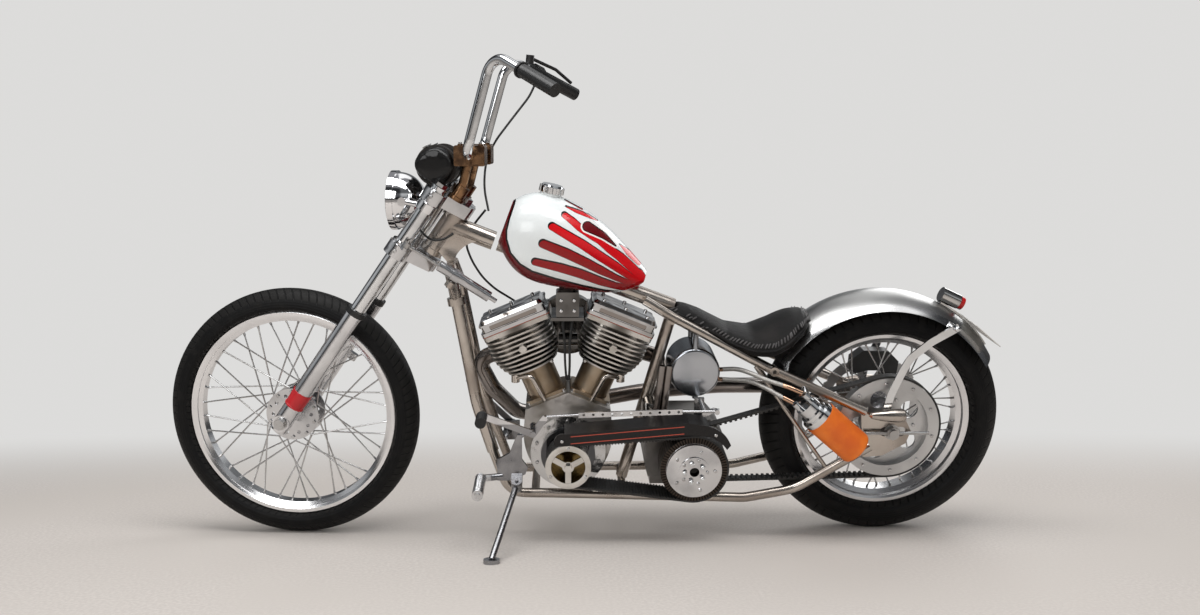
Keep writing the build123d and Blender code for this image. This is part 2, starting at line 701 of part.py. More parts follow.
def toothed_belt(front, front_r, rear, rear_r, thick, tooth, pitch, wide, y):
    """Belt round two pulleys, with teeth along both straight runs."""
    front, rear = Vector(*front), Vector(*rear)
    along = (rear - front).normalized()
    gap = (rear - front).length
    swing = degrees(atan2(along.Y, along.X))
    spread = degrees(acos((front_r - rear_r) / gap))
    with BuildPart() as piece:
        with BuildSketch(side(y + wide)):
            for grow, mode in ((thick, Mode.ADD), (0, Mode.SUBTRACT)):
                with BuildLine():
                    ends = []
                    for way in (1, -1):
                        out = Vector(1, 0).rotate(Axis.Z, swing + way * spread)
                        ends.append((front + out * (front_r + grow), rear + out * (rear_r + grow)))
                    Line(*ends[0])
                    ThreePointArc(ends[0][1], rear + along * (rear_r + grow), ends[1][1])
                    Line(ends[1][1], ends[1][0])
                    ThreePointArc(ends[1][0], front - along * (front_r + grow), ends[0][0])
                make_face(mode=mode)
            for way in (1, -1):
                out = Vector(1, 0).rotate(Axis.Z, swing + way * spread)
                start, end = front + out * front_r, rear + out * rear_r
                run = end - start
                turn = degrees(atan2(run.Y, run.X))
                first = sqrt(2 * front_r * tooth) + pitch * 0.6
                room = run.length - first - sqrt(2 * rear_r * tooth) - pitch * 0.6
                for i in range(int(room / pitch) + 1):
                    spot = start + run.normalized() * (first + pitch * i) - out * (tooth / 2 - 0.2)
                    with Locations(Location((spot.X, spot.Y, 0), (0, 0, turn))):
                        Rectangle(pitch * 0.5, tooth + 0.4)
        extrude(amount=wide)
    return piece


with BuildPart() as primary_pulley:
    with BuildSketch(side(PRIMARY_Y + BELT_WIDE)):
        with Locations((CRANK_X, CRANK_Z)):
            Circle(PULLEY_R - BELT_THICK)
            Circle(44, mode=Mode.SUBTRACT)
    extrude(amount=BELT_WIDE)
    with BuildSketch(side(PRIMARY_Y + 40)):
        with Locations((CRANK_X, CRANK_Z)):
            Circle(45)
    extrude(amount=30)
    with BuildSketch(side(PRIMARY_Y + BELT_WIDE + 7)):
        with Locations((CRANK_X, CRANK_Z)):
            Circle(PULLEY_R + 1)
            Circle(44, mode=Mode.SUBTRACT)
            with PolarLocations(26, 3, start_angle=30):
                Rectangle(44, 15)
            Circle(15)
    extrude(amount=7)
    with BuildSketch(side(PRIMARY_Y + BELT_WIDE + 18)):
        with Locations((CRANK_X, CRANK_Z)):
            RegularPolygon(10, 6)
    extrude(amount=12)
    with BuildSketch(side(PRIMARY_Y + BELT_WIDE)):
        with Locations((CRANK_X, CRANK_Z)):
            Circle(14)
    extrude(amount=BELT_WIDE - 20)
keep(primary_pulley, "primary_pulley")

with BuildPart() as clutch:
    for radius, low, high in (
        (CLUTCH_R, 0, BELT_WIDE), (71.5, BELT_WIDE, BELT_WIDE + 11), (40, BELT_WIDE + 11, BELT_WIDE + 17)
    ):
        with BuildSketch(side(PRIMARY_Y + high)):
            with Locations((CLUTCH_X, CLUTCH_Z)):
                Circle(radius)
        extrude(amount=high - low)
    with BuildSketch(side(PRIMARY_Y + BELT_WIDE + 22)):
        with Locations((CLUTCH_X, CLUTCH_Z)):
            with PolarLocations(26, 5):
                Circle(5)
    extrude(amount=6)
    with BuildSketch(side(PRIMARY_Y + BELT_WIDE + 20)):
        with Locations((CLUTCH_X, CLUTCH_Z)):
            Circle(12)
    extrude(amount=14, mode=Mode.SUBTRACT)
keep(clutch, "clutch")

primary_belt = toothed_belt(
    (CRANK_X, CRANK_Z), PULLEY_R - BELT_THICK + SEAT_GAP, (CLUTCH_X, CLUTCH_Z), CLUTCH_R + SEAT_GAP,
    BELT_THICK - SEAT_GAP, 2.6, 8.0, BELT_WIDE, PRIMARY_Y,
)
keep(primary_belt, "primary_belt")

drive_belt = toothed_belt(
    (CLUTCH_X, CLUTCH_Z), GEARBOX_PULLEY_R + SEAT_GAP, (0, REAR_Z), DRIVE_PULLEY_R + 1,
    4.5, 4.0, 14.0, DRIVE_BELT_WIDE, DRIVE_BELT_Y,
)
keep(drive_belt, "drive_belt")

GUARD_Y = PRIMARY_Y + BELT_WIDE + 2
with BuildPart() as belt_guard:
    with BuildSketch(side(GUARD_Y + 8)):
        with BuildLine():
            Polyline((884, 316), (543, 346), (493, 342))
            ThreePointArc((493, 342), (462, 326), (444, 306))
            Line((444, 306), (434, 318))
            ThreePointArc((434, 318), (456, 350), (492, 370))
            Polyline((492, 370), (543, 378), (862, 350))
            ThreePointArc((862, 350), (886, 338), (884, 316))
        make_face()
    extrude(amount=8)
    with BuildSketch(side(GUARD_Y)):
        with BuildLine():
            Polyline((862, 350), (543, 378), (492, 370), (492, 367), (543, 375), (862, 347), (862, 350))
        make_face()
    extrude(amount=70)
keep(belt_guard, "belt_guard")

# Controls

LINK_Y = 168.0
with BuildPart() as shift_linkage:
    add(rod((1070, 204, 402), (1070, 256, 402), 28))
    with BuildSketch(side(204)):
        with BuildLine():
            Polyline((1074, 395), (1066, 410), (940, 362), (948, 346), (1074, 395))
        make_face()
    extrude(amount=6)
    add(rod((942, 150 + SEAT_GAP, 352), (942, 206, 352), 16))
    with BuildSketch(side(LINK_Y + 12)):
        with BuildLine():
            Polyline((954, 346), (934, 340), (904, 384), (916, 394), (954, 346))
        make_face()
    extrude(amount=6)
    add(rod((911, LINK_Y - 3, 386), (911, LINK_Y + 12, 386), 10))
    add(rod((911, LINK_Y, 386), (824, LINK_Y, 391), 7))
    with BuildSketch(side(LINK_Y + 2.5)):
        with BuildLine():
            Polyline((826, 398), (826, 384), (558, 392), (558, 406), (826, 398))
        make_face()
        with Locations(*[(812 - 24.4 * i, 391.6 + 0.73 * i) for i in range(11)]):
            Circle(3.6, mode=Mode.SUBTRACT)
    extrude(amount=5)
    add(rod((560, LINK_Y, 399), (472, LINK_Y, 399), 7))
    add(rod((469, LINK_Y - 8, 399), (469, LINK_Y + 8, 399), 13))
    with BuildSketch(side(LINK_Y - 8)):
        with BuildLine():
            Polyline((461, 402), (477, 405), (506, 392), (498, 380), (461, 402))
        make_face()
    extrude(amount=6)
    add(rod((499, LINK_Y - 8, 387), (499, GEARBOX_HALF - 20, 387), 13))
    with BuildSketch(side(GEARBOX_HALF - 14)):
        with Locations((499, 338 + SEAT_GAP + 28)):
            Rectangle(26, 56)
    extrude(amount=10)
keep(shift_linkage, "shift_linkage")

PEG_Y = (160.0, 275.0)
PEG_X = 1080.0
PEG_Z = 215.0
PIVOT = Vector(986, 168, 200)
STAND_AXIS = Vector(0, 0.448, 0.894)
LEG_D = 16.0
EYE_THICK = 18.0
LUG_IN = Vector(0, -0.894, 0.448)


def stand_plane(rise):
    """Plane square to the stand's hinge, rise along it from the pivot, with its x inward."""
    return Plane(origin=PIVOT + STAND_AXIS * rise, x_dir=LUG_IN, z_dir=STAND_AXIS)


with BuildPart() as left_foot_control:
    with BuildSketch(side(152)):
        with BuildLine():
            Polyline((1037, 205), (1037, 262), (1004, 281), (984, 331), (972, 331), (972, 262), (957, 240),
                     (964, 222), (1000, 205), (1037, 205))
        make_face()
    extrude(amount=10)
    add(rod((1024, 146, 232), (1036, 82, 232), 24))
    add(rod((1014, 146, 214), (1030, 84, 200), 18))
    add(rod((1024, 150, 216), (PEG_X, PEG_Y[0], PEG_Z), 18))
    add(rod((PEG_X, PEG_Y[0] - 10, PEG_Z), (PEG_X, PEG_Y[1], PEG_Z), 15))
    add(rod((PEG_X, PEG_Y[0], PEG_Z), (PEG_X, PEG_Y[1] - 4, PEG_Z), 29))
    add(rod((978, 146, 322), (945, 144, 348), 10))
    add(rod((942, 140, 352), (942, 150, 352), 20))
    for rise in (EYE_THICK / 2 + 0.6, -EYE_THICK / 2 - 6.6):
        with BuildSketch(stand_plane(rise)):
            with Locations((24, 0)):
                SlotOverall(76, 28)
        extrude(amount=6)
    with BuildSketch(stand_plane(-EYE_THICK / 2 - 6.6)):
        with Locations((44, 0)):
            Rectangle(30, 28)
    extrude(amount=EYE_THICK + 13.2)
    with BuildSketch(stand_plane(-EYE_THICK / 2 - 12)):
        Circle(5)
    extrude(amount=EYE_THICK + 24)
    add(lower_room, mode=Mode.SUBTRACT)
    add(rod((1092, 78, 390), (1052, 82, 255), DOWNTUBE_D + 2 * SEAT_GAP), mode=Mode.SUBTRACT)
keep(left_foot_control, "left_foot_control")

with BuildPart() as right_foot_control:
    with BuildSketch(side(-142)):
        with BuildLine():
            Polyline((1037, 205), (1037, 262), (990, 262), (990, 205), (1037, 205))
        make_face()
    extrude(amount=10)
    add(rod((1024, -146, 232), (1036, -82, 232), 24))
    add(rod((1024, -150, 216), (PEG_X, -PEG_Y[0], PEG_Z), 18))
    add(rod((PEG_X, -PEG_Y[0] + 10, PEG_Z), (PEG_X, -PEG_Y[1], PEG_Z), 15))
    add(rod((PEG_X, -PEG_Y[0], PEG_Z), (PEG_X, -PEG_Y[1] + 4, PEG_Z), 29))
    with BuildSketch(side(-153)):
        with BuildLine():
            Polyline((1016, 244), (1004, 256), (1122, 372), (1134, 360), (1016, 244))
        make_face()
    extrude(amount=6)
    add(rod((1012, -146, 250), (1012, -164, 250), 22))
    with BuildSketch(Plane(origin=(1126, -200, 372), x_dir=(0, 1, 0), z_dir=(0.7, 0, -0.7))):
        RectangleRounded(96, 34, 8)
    extrude(amount=8)
    add(mirrored(lower_room), mode=Mode.SUBTRACT)
    add(rod((1092, -78, 390), (1052, -82, 255), DOWNTUBE_D + 2 * SEAT_GAP), mode=Mode.SUBTRACT)
keep(right_foot_control, "right_foot_control")

FOOT = Vector(1039, 378.2, 95.5)
WORLD_UP = Vector(0, -sin(radians(LEAN)), cos(radians(LEAN)))
with BuildPart() as stand_leg:
    with BuildSketch(stand_plane(-EYE_THICK / 2)):
        Circle(14)
        Circle(5 + RUNNING_GAP, mode=Mode.SUBTRACT)
    extrude(amount=EYE_THICK)
    run = (FOOT - PIVOT).normalized()
    add(rod(PIVOT + run * 11, FOOT, LEG_D))
    add(rod(FOOT + WORLD_UP * 2, FOOT - WORLD_UP * 7.6, 40))
keep(stand_leg, "stand_leg")

# Oil tank, stacks and filter

OIL_X = 515.0
OIL_Z = 470.0
OIL_R = 67.0
OIL_HALF = 65.0
with BuildPart() as oil_tank:
    with BuildSketch(side(OIL_HALF)):
        with Locations((OIL_X, OIL_Z)):
            Circle(OIL_R)
    extrude(amount=2 * OIL_HALF)
    fillet(oil_tank.edges().filter_by(GeomType.CIRCLE), 8)
    for way in (1, -1):
        add(rod((OIL_X, way * 57, OIL_Z + OIL_R - 12), (OIL_X, way * 59, OIL_Z + 112), 14))
    add(rod((OIL_X - 6, 30, OIL_Z - OIL_R + 6), (OIL_X - 6, 30, OIL_Z - OIL_R - 14), 16))
    for room in both_rooms:
        add(room, mode=Mode.SUBTRACT)
keep(oil_tank, "oil_tank")

STACK_Y = 100.0
STACK_D = 19.0
STACKS = [(606, 622), (587, 603)]
with BuildPart() as breather_stacks:
    for top_x, foot_x in STACKS:
        add(rod((top_x, STACK_Y, 502), (foot_x, STACK_Y, 352), STACK_D))
    with BuildSketch(Plane.XY.offset(340)):
        with Locations((CAN_X - 8, CAN_Y + CAN_R + SEAT_GAP + 12)):
            Rectangle(54, 24)
    extrude(amount=26)
    for top_x, foot_x in STACKS:
        down = Vector(foot_x - top_x, 0, -150).normalized()
        top = Vector(top_x, STACK_Y, 502)
        add(rod(top - down * 2, top + down * 70, STACK_D - 4), mode=Mode.SUBTRACT)
keep(breather_stacks, "breather_stacks")

FILTER_Y = 180.0
FILTER_TOP = Vector(204, FILTER_Y, 388)
FILTER_END = Vector(102, FILTER_Y, 299)
FILTER_D = 90.0
FILTER_RUN = (FILTER_END - FILTER_TOP).normalized()
with BuildPart() as oil_filter:
    with BuildSketch(Plane(origin=FILTER_TOP, z_dir=FILTER_RUN)):
        Circle(FILTER_D / 2)
    extrude(amount=(FILTER_END - FILTER_TOP).length)
    fillet(oil_filter.edges().filter_by(GeomType.CIRCLE).sort_by(Axis.Z)[0], 9)
keep(oil_filter, "oil_filter")

with BuildPart() as filter_head:
    seat = FILTER_TOP - FILTER_RUN * SEAT_GAP
    for reach, wide in ((14, FILTER_D - 2), (26, 74), (52, 60)):
        add(rod(seat, seat - FILTER_RUN * reach, wide))
    across = Vector(FILTER_RUN.Z, 0, -FILTER_RUN.X)
    for shift in (-17, 17):
        start = seat - FILTER_RUN * 44 + across * shift
        add(rod(start, start - FILTER_RUN * 30, 18))
    add(rod(seat - FILTER_RUN * 30, (236, 104, 452), 18))
    add(upper_room, mode=Mode.SUBTRACT)
    with BuildSketch(side(108)):
        Rectangle(4000, 4000)
    extrude(amount=60, mode=Mode.SUBTRACT)
keep(filter_head, "filter_head")

# Oil lines: a metal one from each head to the case, two hoses from the filter to the tank
DRAIN_D = 12.0
HOSE_D = 12.0
DRAIN = [(992, 44, 451), (950, 72, 468), (912, 66, 391)]
DRAIN_NUT_D = 22.0
HOSES = [
    [(252, 180, 452.4), (289, 168, 466), (335, 140, 473), (376, 116, 486), (406, 80, 487), (450, 46, 474)],
    [(274.3, 180, 426.7), (309, 166, 441), (341, 138, 454), (374, 108, 462), (412, 74, 454), (456, 42, 446)],
]
oil_tank_room = rod((OIL_X, OIL_HALF, OIL_Z), (OIL_X, -OIL_HALF, OIL_Z), 2 * OIL_R + 2 * SEAT_GAP)
with BuildPart() as drain:
    add(tube(DRAIN, [16], DRAIN_D))
    add(rod((992, 42, 462), (992, 42, 440), DRAIN_NUT_D))
    with BuildSketch(side(CASE_HALF)):
        with BuildLine():
            Polyline((CRANK_X - 113, CRANK_Z + 115.1), (CRANK_X, CRANK_Z + 161.9),
                     (CRANK_X + 113, CRANK_Z + 115.1), (CRANK_X + 113, CRANK_Z),
                     (CRANK_X - 113, CRANK_Z), (CRANK_X - 113, CRANK_Z + 115.1))
        make_face()
    extrude(amount=2 * CASE_HALF, mode=Mode.SUBTRACT)
    with BuildSketch(bank(1, FIN_START - SEAT_GAP)):
        Rectangle(260, 200)
    extrude(amount=60, mode=Mode.SUBTRACT)
rear_drain = mirror(drain.part, about=Plane(origin=(CRANK_X, 0, 0), z_dir=(1, 0, 0)))
with BuildPart() as oil_lines:
    add(drain.part)
    add(rear_drain)
    for route in HOSES:
        add(cable(route, HOSE_D))
    add(oil_tank_room, mode=Mode.SUBTRACT)
keep(oil_lines, "oil_lines")

# Fuel tank: sections square to the backbone, from its front to its tip
# along, bottom, top, half width
TANK_SECTIONS = [
    (-6, 8, 118, 60),
    (14, -10, 140, 88),
    (50, -36, 161, 106),
    (117, -50, 170, 115),
    (206, -37, 155, 113),
    (300, -15, 116, 92),
    (360, 14, 84, 62),
    (386, 38, 68, 38),
]
TANK_BACK = Vector(-0.9366, 0, -0.3506)
TANK_START = Vector(1030, 0, 808)


def tank_plane(along):
    """Plane square to the backbone, along it from the tank's front, with its y upward."""
    return Plane(origin=TANK_START + TANK_BACK * along, x_dir=(0, -1, 0), z_dir=TANK_BACK)


with BuildPart() as fuel_tank:
    for along, low, high, half in TANK_SECTIONS:
        corner = min(half * 0.45, (high - low) * 0.28)
        shoulder = max(low + corner + 2, high - half)
        with BuildSketch(tank_plane(along)):
            with BuildLine():
                Line((-half + corner, low), (half - corner, low))
                ThreePointArc((half - corner, low), (half - corner * 0.293, low + corner * 0.293),
                              (half, low + corner))
                Line((half, low + corner), (half, shoulder))
                ThreePointArc((half, shoulder), (0, high), (-half, shoulder))
                Line((-half, shoulder), (-half, low + corner))
                ThreePointArc((-half, low + corner), (-half + corner * 0.293, low + corner * 0.293),
                              (-half + corner, low))
            make_face()
    loft()
    with BuildSketch(tank_plane(-20)):
        Circle(BACKBONE_D / 2 + 0.8)
        with Locations((0, -60)):
            Rectangle(BACKBONE_D + 1.6, 120)
    extrude(amount=420, mode=Mode.SUBTRACT)
    CAP_BASE = Vector(898, 0, 934)
    CAP_UP = Vector(-0.22, 0, 0.975)
    add(rod(CAP_BASE - CAP_UP * 20, CAP_BASE + CAP_UP * 8, 56))
keep(fuel_tank, "fuel_tank")

with BuildPart() as filler_cap:
    base = CAP_BASE + CAP_UP * (8 + SEAT_GAP)
    with BuildSketch(Plane(origin=base, z_dir=CAP_UP)):
        Circle(33)
        with PolarLocations(34.5, 12):
            Circle(5, mode=Mode.SUBTRACT)
    extrude(amount=16)
    with BuildSketch(Plane(origin=base + CAP_UP * 16, z_dir=CAP_UP)):
        Circle(28)
    extrude(amount=5, taper=20)
keep(filler_cap, "filler_cap")

# Rear fender and what it carries


def on_fender(angle, radius):
    """Point in the side view at an angle round the fender's middle."""
    return (FENDER_X + radius * cos(radians(angle)), FENDER_Z + radius * sin(radians(angle)))


FENDER_FRONT = 30.5
FENDER_REAR = 150.0
c, s = cos(radians(FENDER_FRONT)), sin(radians(FENDER_FRONT))
EDGE = SEAT_GAP * 1.5
with BuildPart() as fender_room:
    with BuildSketch(Plane(origin=(FENDER_X, 0, FENDER_Z), x_dir=(0, 1, 0), z_dir=(s, 0, -c))):
        with BuildLine():
            ThreePointArc((-FENDER_HALF - EDGE, FENDER_SKIRT_R), (0, FENDER_R + EDGE),
                          (FENDER_HALF + EDGE, FENDER_SKIRT_R))
            Polyline((FENDER_HALF + EDGE, FENDER_SKIRT_R), (FENDER_HALF + EDGE, 290),
                     (-FENDER_HALF - EDGE, 290), (-FENDER_HALF - EDGE, FENDER_SKIRT_R))
        make_face()
    revolve(axis=Axis((FENDER_X, 0, FENDER_Z), (0, -1, 0)), revolution_arc=FENDER_REAR - FENDER_FRONT)
with BuildPart() as rear_fender:
    with BuildSketch(Plane(origin=(FENDER_X, 0, FENDER_Z), x_dir=(0, 1, 0), z_dir=(s, 0, -c))):
        with BuildLine():
            ThreePointArc((-FENDER_HALF, FENDER_SKIRT_R), (0, FENDER_R), (FENDER_HALF, FENDER_SKIRT_R))
            Line((FENDER_HALF, FENDER_SKIRT_R), (FENDER_HALF - SHEET, FENDER_SKIRT_R))
            ThreePointArc((FENDER_HALF - SHEET, FENDER_SKIRT_R), (0, FENDER_R - SHEET),
                          (-FENDER_HALF + SHEET, FENDER_SKIRT_R))
            Line((-FENDER_HALF + SHEET, FENDER_SKIRT_R), (-FENDER_HALF, FENDER_SKIRT_R))
        make_face()
    revolve(axis=Axis((FENDER_X, 0, FENDER_Z), (0, -1, 0)), revolution_arc=FENDER_REAR - FENDER_FRONT)
    for way in (1, -1):
        x, z = on_fender(FENDER_FRONT + 2.5, FENDER_SKIRT_R + 5)
        add(rod((x, way * 87, z), (x + 6, way * 100, z - 22), 13))
    for room in both_rooms:
        add(room, mode=Mode.SUBTRACT)
keep(rear_fender, "rear_fender")

# Seat: sections across the machine, from the nose back
# along, half width, underside, rim, crown
SEAT_SECTIONS = [
    (592, 42, 634, 645, 651),
    (562, 56, 620, 632, 651),
    (505, 72, 591, 603, 630),
    (430, 98, 554, 567, 590),
    (365, 121, 522, 550, 578),
    (310, 130, 524, 556, 603),
    (265, 121, 552, 584, 628),
    (232, 92, 576, 608, 637),
    (206, 50, 588, 606, 620),
]
with BuildPart() as seat:
    for along, half, low, rim_z, high in SEAT_SECTIONS:
        with BuildSketch(Plane(origin=(along, 0, 0), x_dir=(0, 1, 0), z_dir=(1, 0, 0))):
            with BuildLine():
                Polyline((-half, rim_z), (-half, low), (half, low), (half, rim_z))
                ThreePointArc((half, rim_z), (0, high), (-half, rim_z))
            make_face()
    loft(ruled=True)
    add(fender_room.part, mode=Mode.SUBTRACT)
    add(spine_room, mode=Mode.SUBTRACT)
    for room in both_rooms:
        add(room, mode=Mode.SUBTRACT)
keep(seat, "seat")

STRUT_Y = 120.5
STRUT_LINE = [(-160, 612), (-92, 572), (-40, 528), (-22, 494), (6, 425), (18, 362)]
with BuildPart() as strut:
    with BuildSketch(side(STRUT_Y + 5)):
        with BuildLine():
            FilletPolyline(*STRUT_LINE, radius=[60, 60, 120, 120])
        trace(line_width=20)
    extrude(amount=5)
    top_x, top_z = STRUT_LINE[0]
    add(rod((top_x + 8, 76, top_z - 4), (top_x + 8, STRUT_Y + 9, top_z - 4), 13))
    add(rod((17, STRUT_Y - 6, 372), (17, STRUT_Y + 5, 372), 16))
    add(fender_room.part, mode=Mode.SUBTRACT)
with BuildPart() as fender_struts:
    add(strut.part)
    add(mirrored(strut.part))
keep(fender_struts, "fender_struts")

PLATE_HOLES = 136.0
with BuildPart() as tail_light:
    c, s = cos(radians(117)), sin(radians(117))
    with BuildSketch(Plane(origin=(FENDER_X, 0, FENDER_Z), x_dir=(0, 1, 0), z_dir=(s, 0, -c))):
        with Locations((0, FENDER_R + 2.6)):
            Rectangle(26, 4.4)
    revolve(axis=Axis((FENDER_X, 0, FENDER_Z), (0, -1, 0)), revolution_arc=29)
    add(rod((-150, 0, 671), (-198, 0, 649), 40))
    add(rod((-198, 0, 649), (-210, 0, 643.5), 36))
    with BuildSketch(Plane(origin=(-255, 0, 575.6), x_dir=(0, 1, 0), z_dir=(-0.64, 0, 0.77))):
        RectangleRounded(164, 100, 8)
        with GridLocations(PLATE_HOLES, 0, 2, 1):
            Circle(3.5, mode=Mode.SUBTRACT)
    extrude(amount=2)
keep(tail_light, "tail_light")

DISC_Y = -81.5
with BuildPart() as rear_caliper:
    with BuildSketch(side(DISC_Y + 20)):
        with BuildLine():
            Polyline((-66, 424), (-70, 462), (-40, 492), (30, 494), (60, 470), (62, 424), (20, 436),
                     (-24, 436), (-66, 424))
        make_face()
    extrude(amount=44)
    with BuildSketch(side(DISC_Y + 5.5)):
        with Locations((0, REAR_Z)):
            Circle(152)
    extrude(amount=11, mode=Mode.SUBTRACT)
    with BuildSketch(side(DISC_Y - 16)):
        with BuildLine():
            Polyline((-62, 440), (-34, 440), (-31, 352), (-31, 340), (-46, 332), (-62, 372), (-62, 440))
        make_face()
    extrude(amount=PLATE_Y - PLATE_THICK / 2 - SEAT_GAP + DISC_Y - 16)
keep(rear_caliper, "rear_caliper")

# Fork and steering


def across_fork(t, forward=0.0, y=0.0):
    """Plane square to the steering axis, t up it, with its x forward."""
    return Plane(origin=head(t, forward, y), x_dir=AXIS_FORWARD, z_dir=AXIS_UP)


# The damper's lug on the left leg, drawn with the fork straight
turn = radians(STEER_REST)
eye_f = EYE_FORWARD * cos(turn) - EYE_OUT * sin(turn)
eye_y = EYE_OUT * cos(turn) + EYE_FORWARD * sin(turn)
EYE_HALF = 6.0
LUG_TOP = DAMPER_T - EYE_HALF - 2 * RUNNING_GAP
LUG_LOW = LOWER_TREE_T + TREE_THICK / 2
with BuildPart() as steering_trees:
    for level in (LOWER_TREE_T, UPPER_TREE_T):
        with BuildSketch(across_fork(level - TREE_THICK / 2)):
            with BuildLine():
                Polyline((-30, -34), (-30, 34), (14, 66), (84, 112), (84, 70), (52, 34), (52, -34), (84, -70),
                         (84, -112), (14, -66), (-30, -34))
            make_face()
            with Locations((FORK_OFFSET, FORK_SPREAD), (FORK_OFFSET, -FORK_SPREAD)):
                Circle(31)
            Circle(36)
        extrude(amount=TREE_THICK)
    with BuildSketch(across_fork(LUG_LOW)):
        with BuildLine():
            Polyline((eye_f - 9, eye_y), (eye_f + 9, eye_y), (FORK_OFFSET + 20, FORK_SPREAD),
                     (FORK_OFFSET - 20, FORK_SPREAD), (eye_f - 9, eye_y))
        make_face()
        with Locations((eye_f, eye_y)):
            Circle(10)
        with Locations((FORK_OFFSET, FORK_SPREAD)):
            Circle(27)
    extrude(amount=LUG_TOP - LUG_LOW)
    add(rod(head(LOWER_TREE_T), head(UPPER_TREE_T + TREE_THICK / 2 + 8), STEM_D))
    with BuildSketch(across_fork(UPPER_TREE_T + TREE_THICK / 2)):
        RegularPolygon(20, 6)
    extrude(amount=14)
    for way in (1, -1):
        low = head(LOWER_TREE_T - TREE_THICK, FORK_OFFSET, way * FORK_SPREAD)
        high = head(UPPER_TREE_T + TREE_THICK, FORK_OFFSET, way * FORK_SPREAD)
        add(rod(low, high, FORK_TUBE_D + 2 * SEAT_GAP), mode=Mode.SUBTRACT)
keep(steering_trees, "steering_trees", steered=True)

with BuildPart() as fork_tubes:
    for way in (1, -1):
        foot = head(110, FORK_OFFSET, way * FORK_SPREAD)
        cap = head(748, FORK_OFFSET, way * FORK_SPREAD)
        add(rod(foot, cap, FORK_TUBE_D))
        add(rod(cap, cap + AXIS_UP * 4, FORK_TUBE_D + 3))
        with BuildSketch(Plane(origin=cap + AXIS_UP * 4, z_dir=AXIS_UP)):
            RegularPolygon(17, 6)
        extrude(amount=10)
keep(fork_tubes, "fork_tubes", steered=True)

FRONT_AXLE_D = 20.0
SLIDER_TOP = 350.0
with BuildPart() as fork_sliders:
    for way in (1, -1):
        y = way * FORK_SPREAD
        add(rod(head(-25, FORK_OFFSET, y), head(SLIDER_TOP, FORK_OFFSET, y), SLIDER_D))
        add(rod(head(SLIDER_TOP, FORK_OFFSET, y), head(SLIDER_TOP + 16, FORK_OFFSET, y), SLIDER_D + 3))
        boss = FRONT_AXLE + LEFT * y
        add(rod(boss - LEFT * 24.5, boss + LEFT * 24.5, 44))
        add(rod(head(100, FORK_OFFSET, y), head(380, FORK_OFFSET, y), FORK_TUBE_D + 2 * SEAT_GAP),
            mode=Mode.SUBTRACT)
    for low, high in ((176, 196), (214, 234)):
        with BuildSketch(across_fork(low)):
            with Locations((FORK_OFFSET - 33, -FORK_SPREAD)):
                RectangleRounded(24, 16, 6)
        extrude(amount=high - low)
    add(rod(FRONT_AXLE - LEFT * 130, FRONT_AXLE + LEFT * 130, FRONT_AXLE_D + 2 * SEAT_GAP), mode=Mode.SUBTRACT)
keep(fork_sliders, "fork_sliders", steered=True)

with BuildPart() as front_axle:
    outer = FORK_SPREAD + 24.5 + SEAT_GAP
    add(rod(FRONT_AXLE - LEFT * outer, FRONT_AXLE + LEFT * outer, FRONT_AXLE_D))
    for way in (1, -1):
        add(rod(FRONT_AXLE + LEFT * way * (52 + RUNNING_GAP), FRONT_AXLE + LEFT * way * (FORK_SPREAD - 24.8), 32))
        add(rod(FRONT_AXLE + LEFT * way * outer, FRONT_AXLE + LEFT * way * (outer + 4), 34))
        with BuildSketch(Plane(origin=FRONT_AXLE + LEFT * way * (outer + 4), z_dir=(0, way, 0))):
            RegularPolygon(15, 6)
        extrude(amount=10)
keep(front_axle, "front_axle", steered=True)

LAMP = Vector(1225, 0, 919)
with BuildPart() as headlight:
    with BuildSketch(Plane(origin=LAMP, x_dir=(1, 0, 0), z_dir=(0, -1, 0))):
        with BuildLine():
            Polyline((0, 0), (0, 24))
            ThreePointArc((0, 24), (26, 60), (68, 73))
            Polyline((68, 73), (68, 77), (84, 77), (86, 72))
            Polyline((86, 72), (92, 50), (94, 0), (0, 0))
        make_face()
    revolve(axis=Axis(LAMP, (1, 0, 0)))
    for way in (1, -1):
        ring = head(690, FORK_OFFSET, way * FORK_SPREAD)
        add(rod(ring - AXIS_UP * 11, ring + AXIS_UP * 11, 52))
        add(rod((ring.X + 16, way * 94, ring.Z + 4), (1264, way * 80, 922), 15))
        add(rod((1264, way * 50, 922), (1264, way * 90, 922), 22))
    for way in (1, -1):
        ring = head(690, FORK_OFFSET, way * FORK_SPREAD)
        add(rod(ring - AXIS_UP * 20, ring + AXIS_UP * 20, FORK_TUBE_D + 2 * SEAT_GAP), mode=Mode.SUBTRACT)
keep(headlight, "headlight", steered=True)

RISER_Y = 50.0
CLAMP = Vector(1094, 0, 1038)
BAR_D = 25.4
with BuildPart() as risers:
    for way in (1, -1):
        y = way * RISER_Y
        base = head(UPPER_TREE_T + TREE_THICK / 2 + SEAT_GAP, 16, y)
        add(rod(base, base + AXIS_UP * 10, 44))
        add(rod(base + AXIS_UP * 10, base + AXIS_UP * 40, 36))
        add(rod(base + AXIS_UP * 30, (CLAMP.X + 4, y, CLAMP.Z - 8), 24))
        with BuildSketch(side(y + 22)):
            with Locations((CLAMP.X, CLAMP.Z)):
                RectangleRounded(78, 52, 5)
        extrude(amount=44)
        for shift in (-26, 26):
            add(rod((CLAMP.X + shift, y, CLAMP.Z + 20), (CLAMP.X + shift, y, CLAMP.Z + 29), 14))
    add(rod(CLAMP - LEFT * 90, CLAMP + LEFT * 90, BAR_D + 2 * SEAT_GAP), mode=Mode.SUBTRACT)
keep(risers, "risers", steered=True)

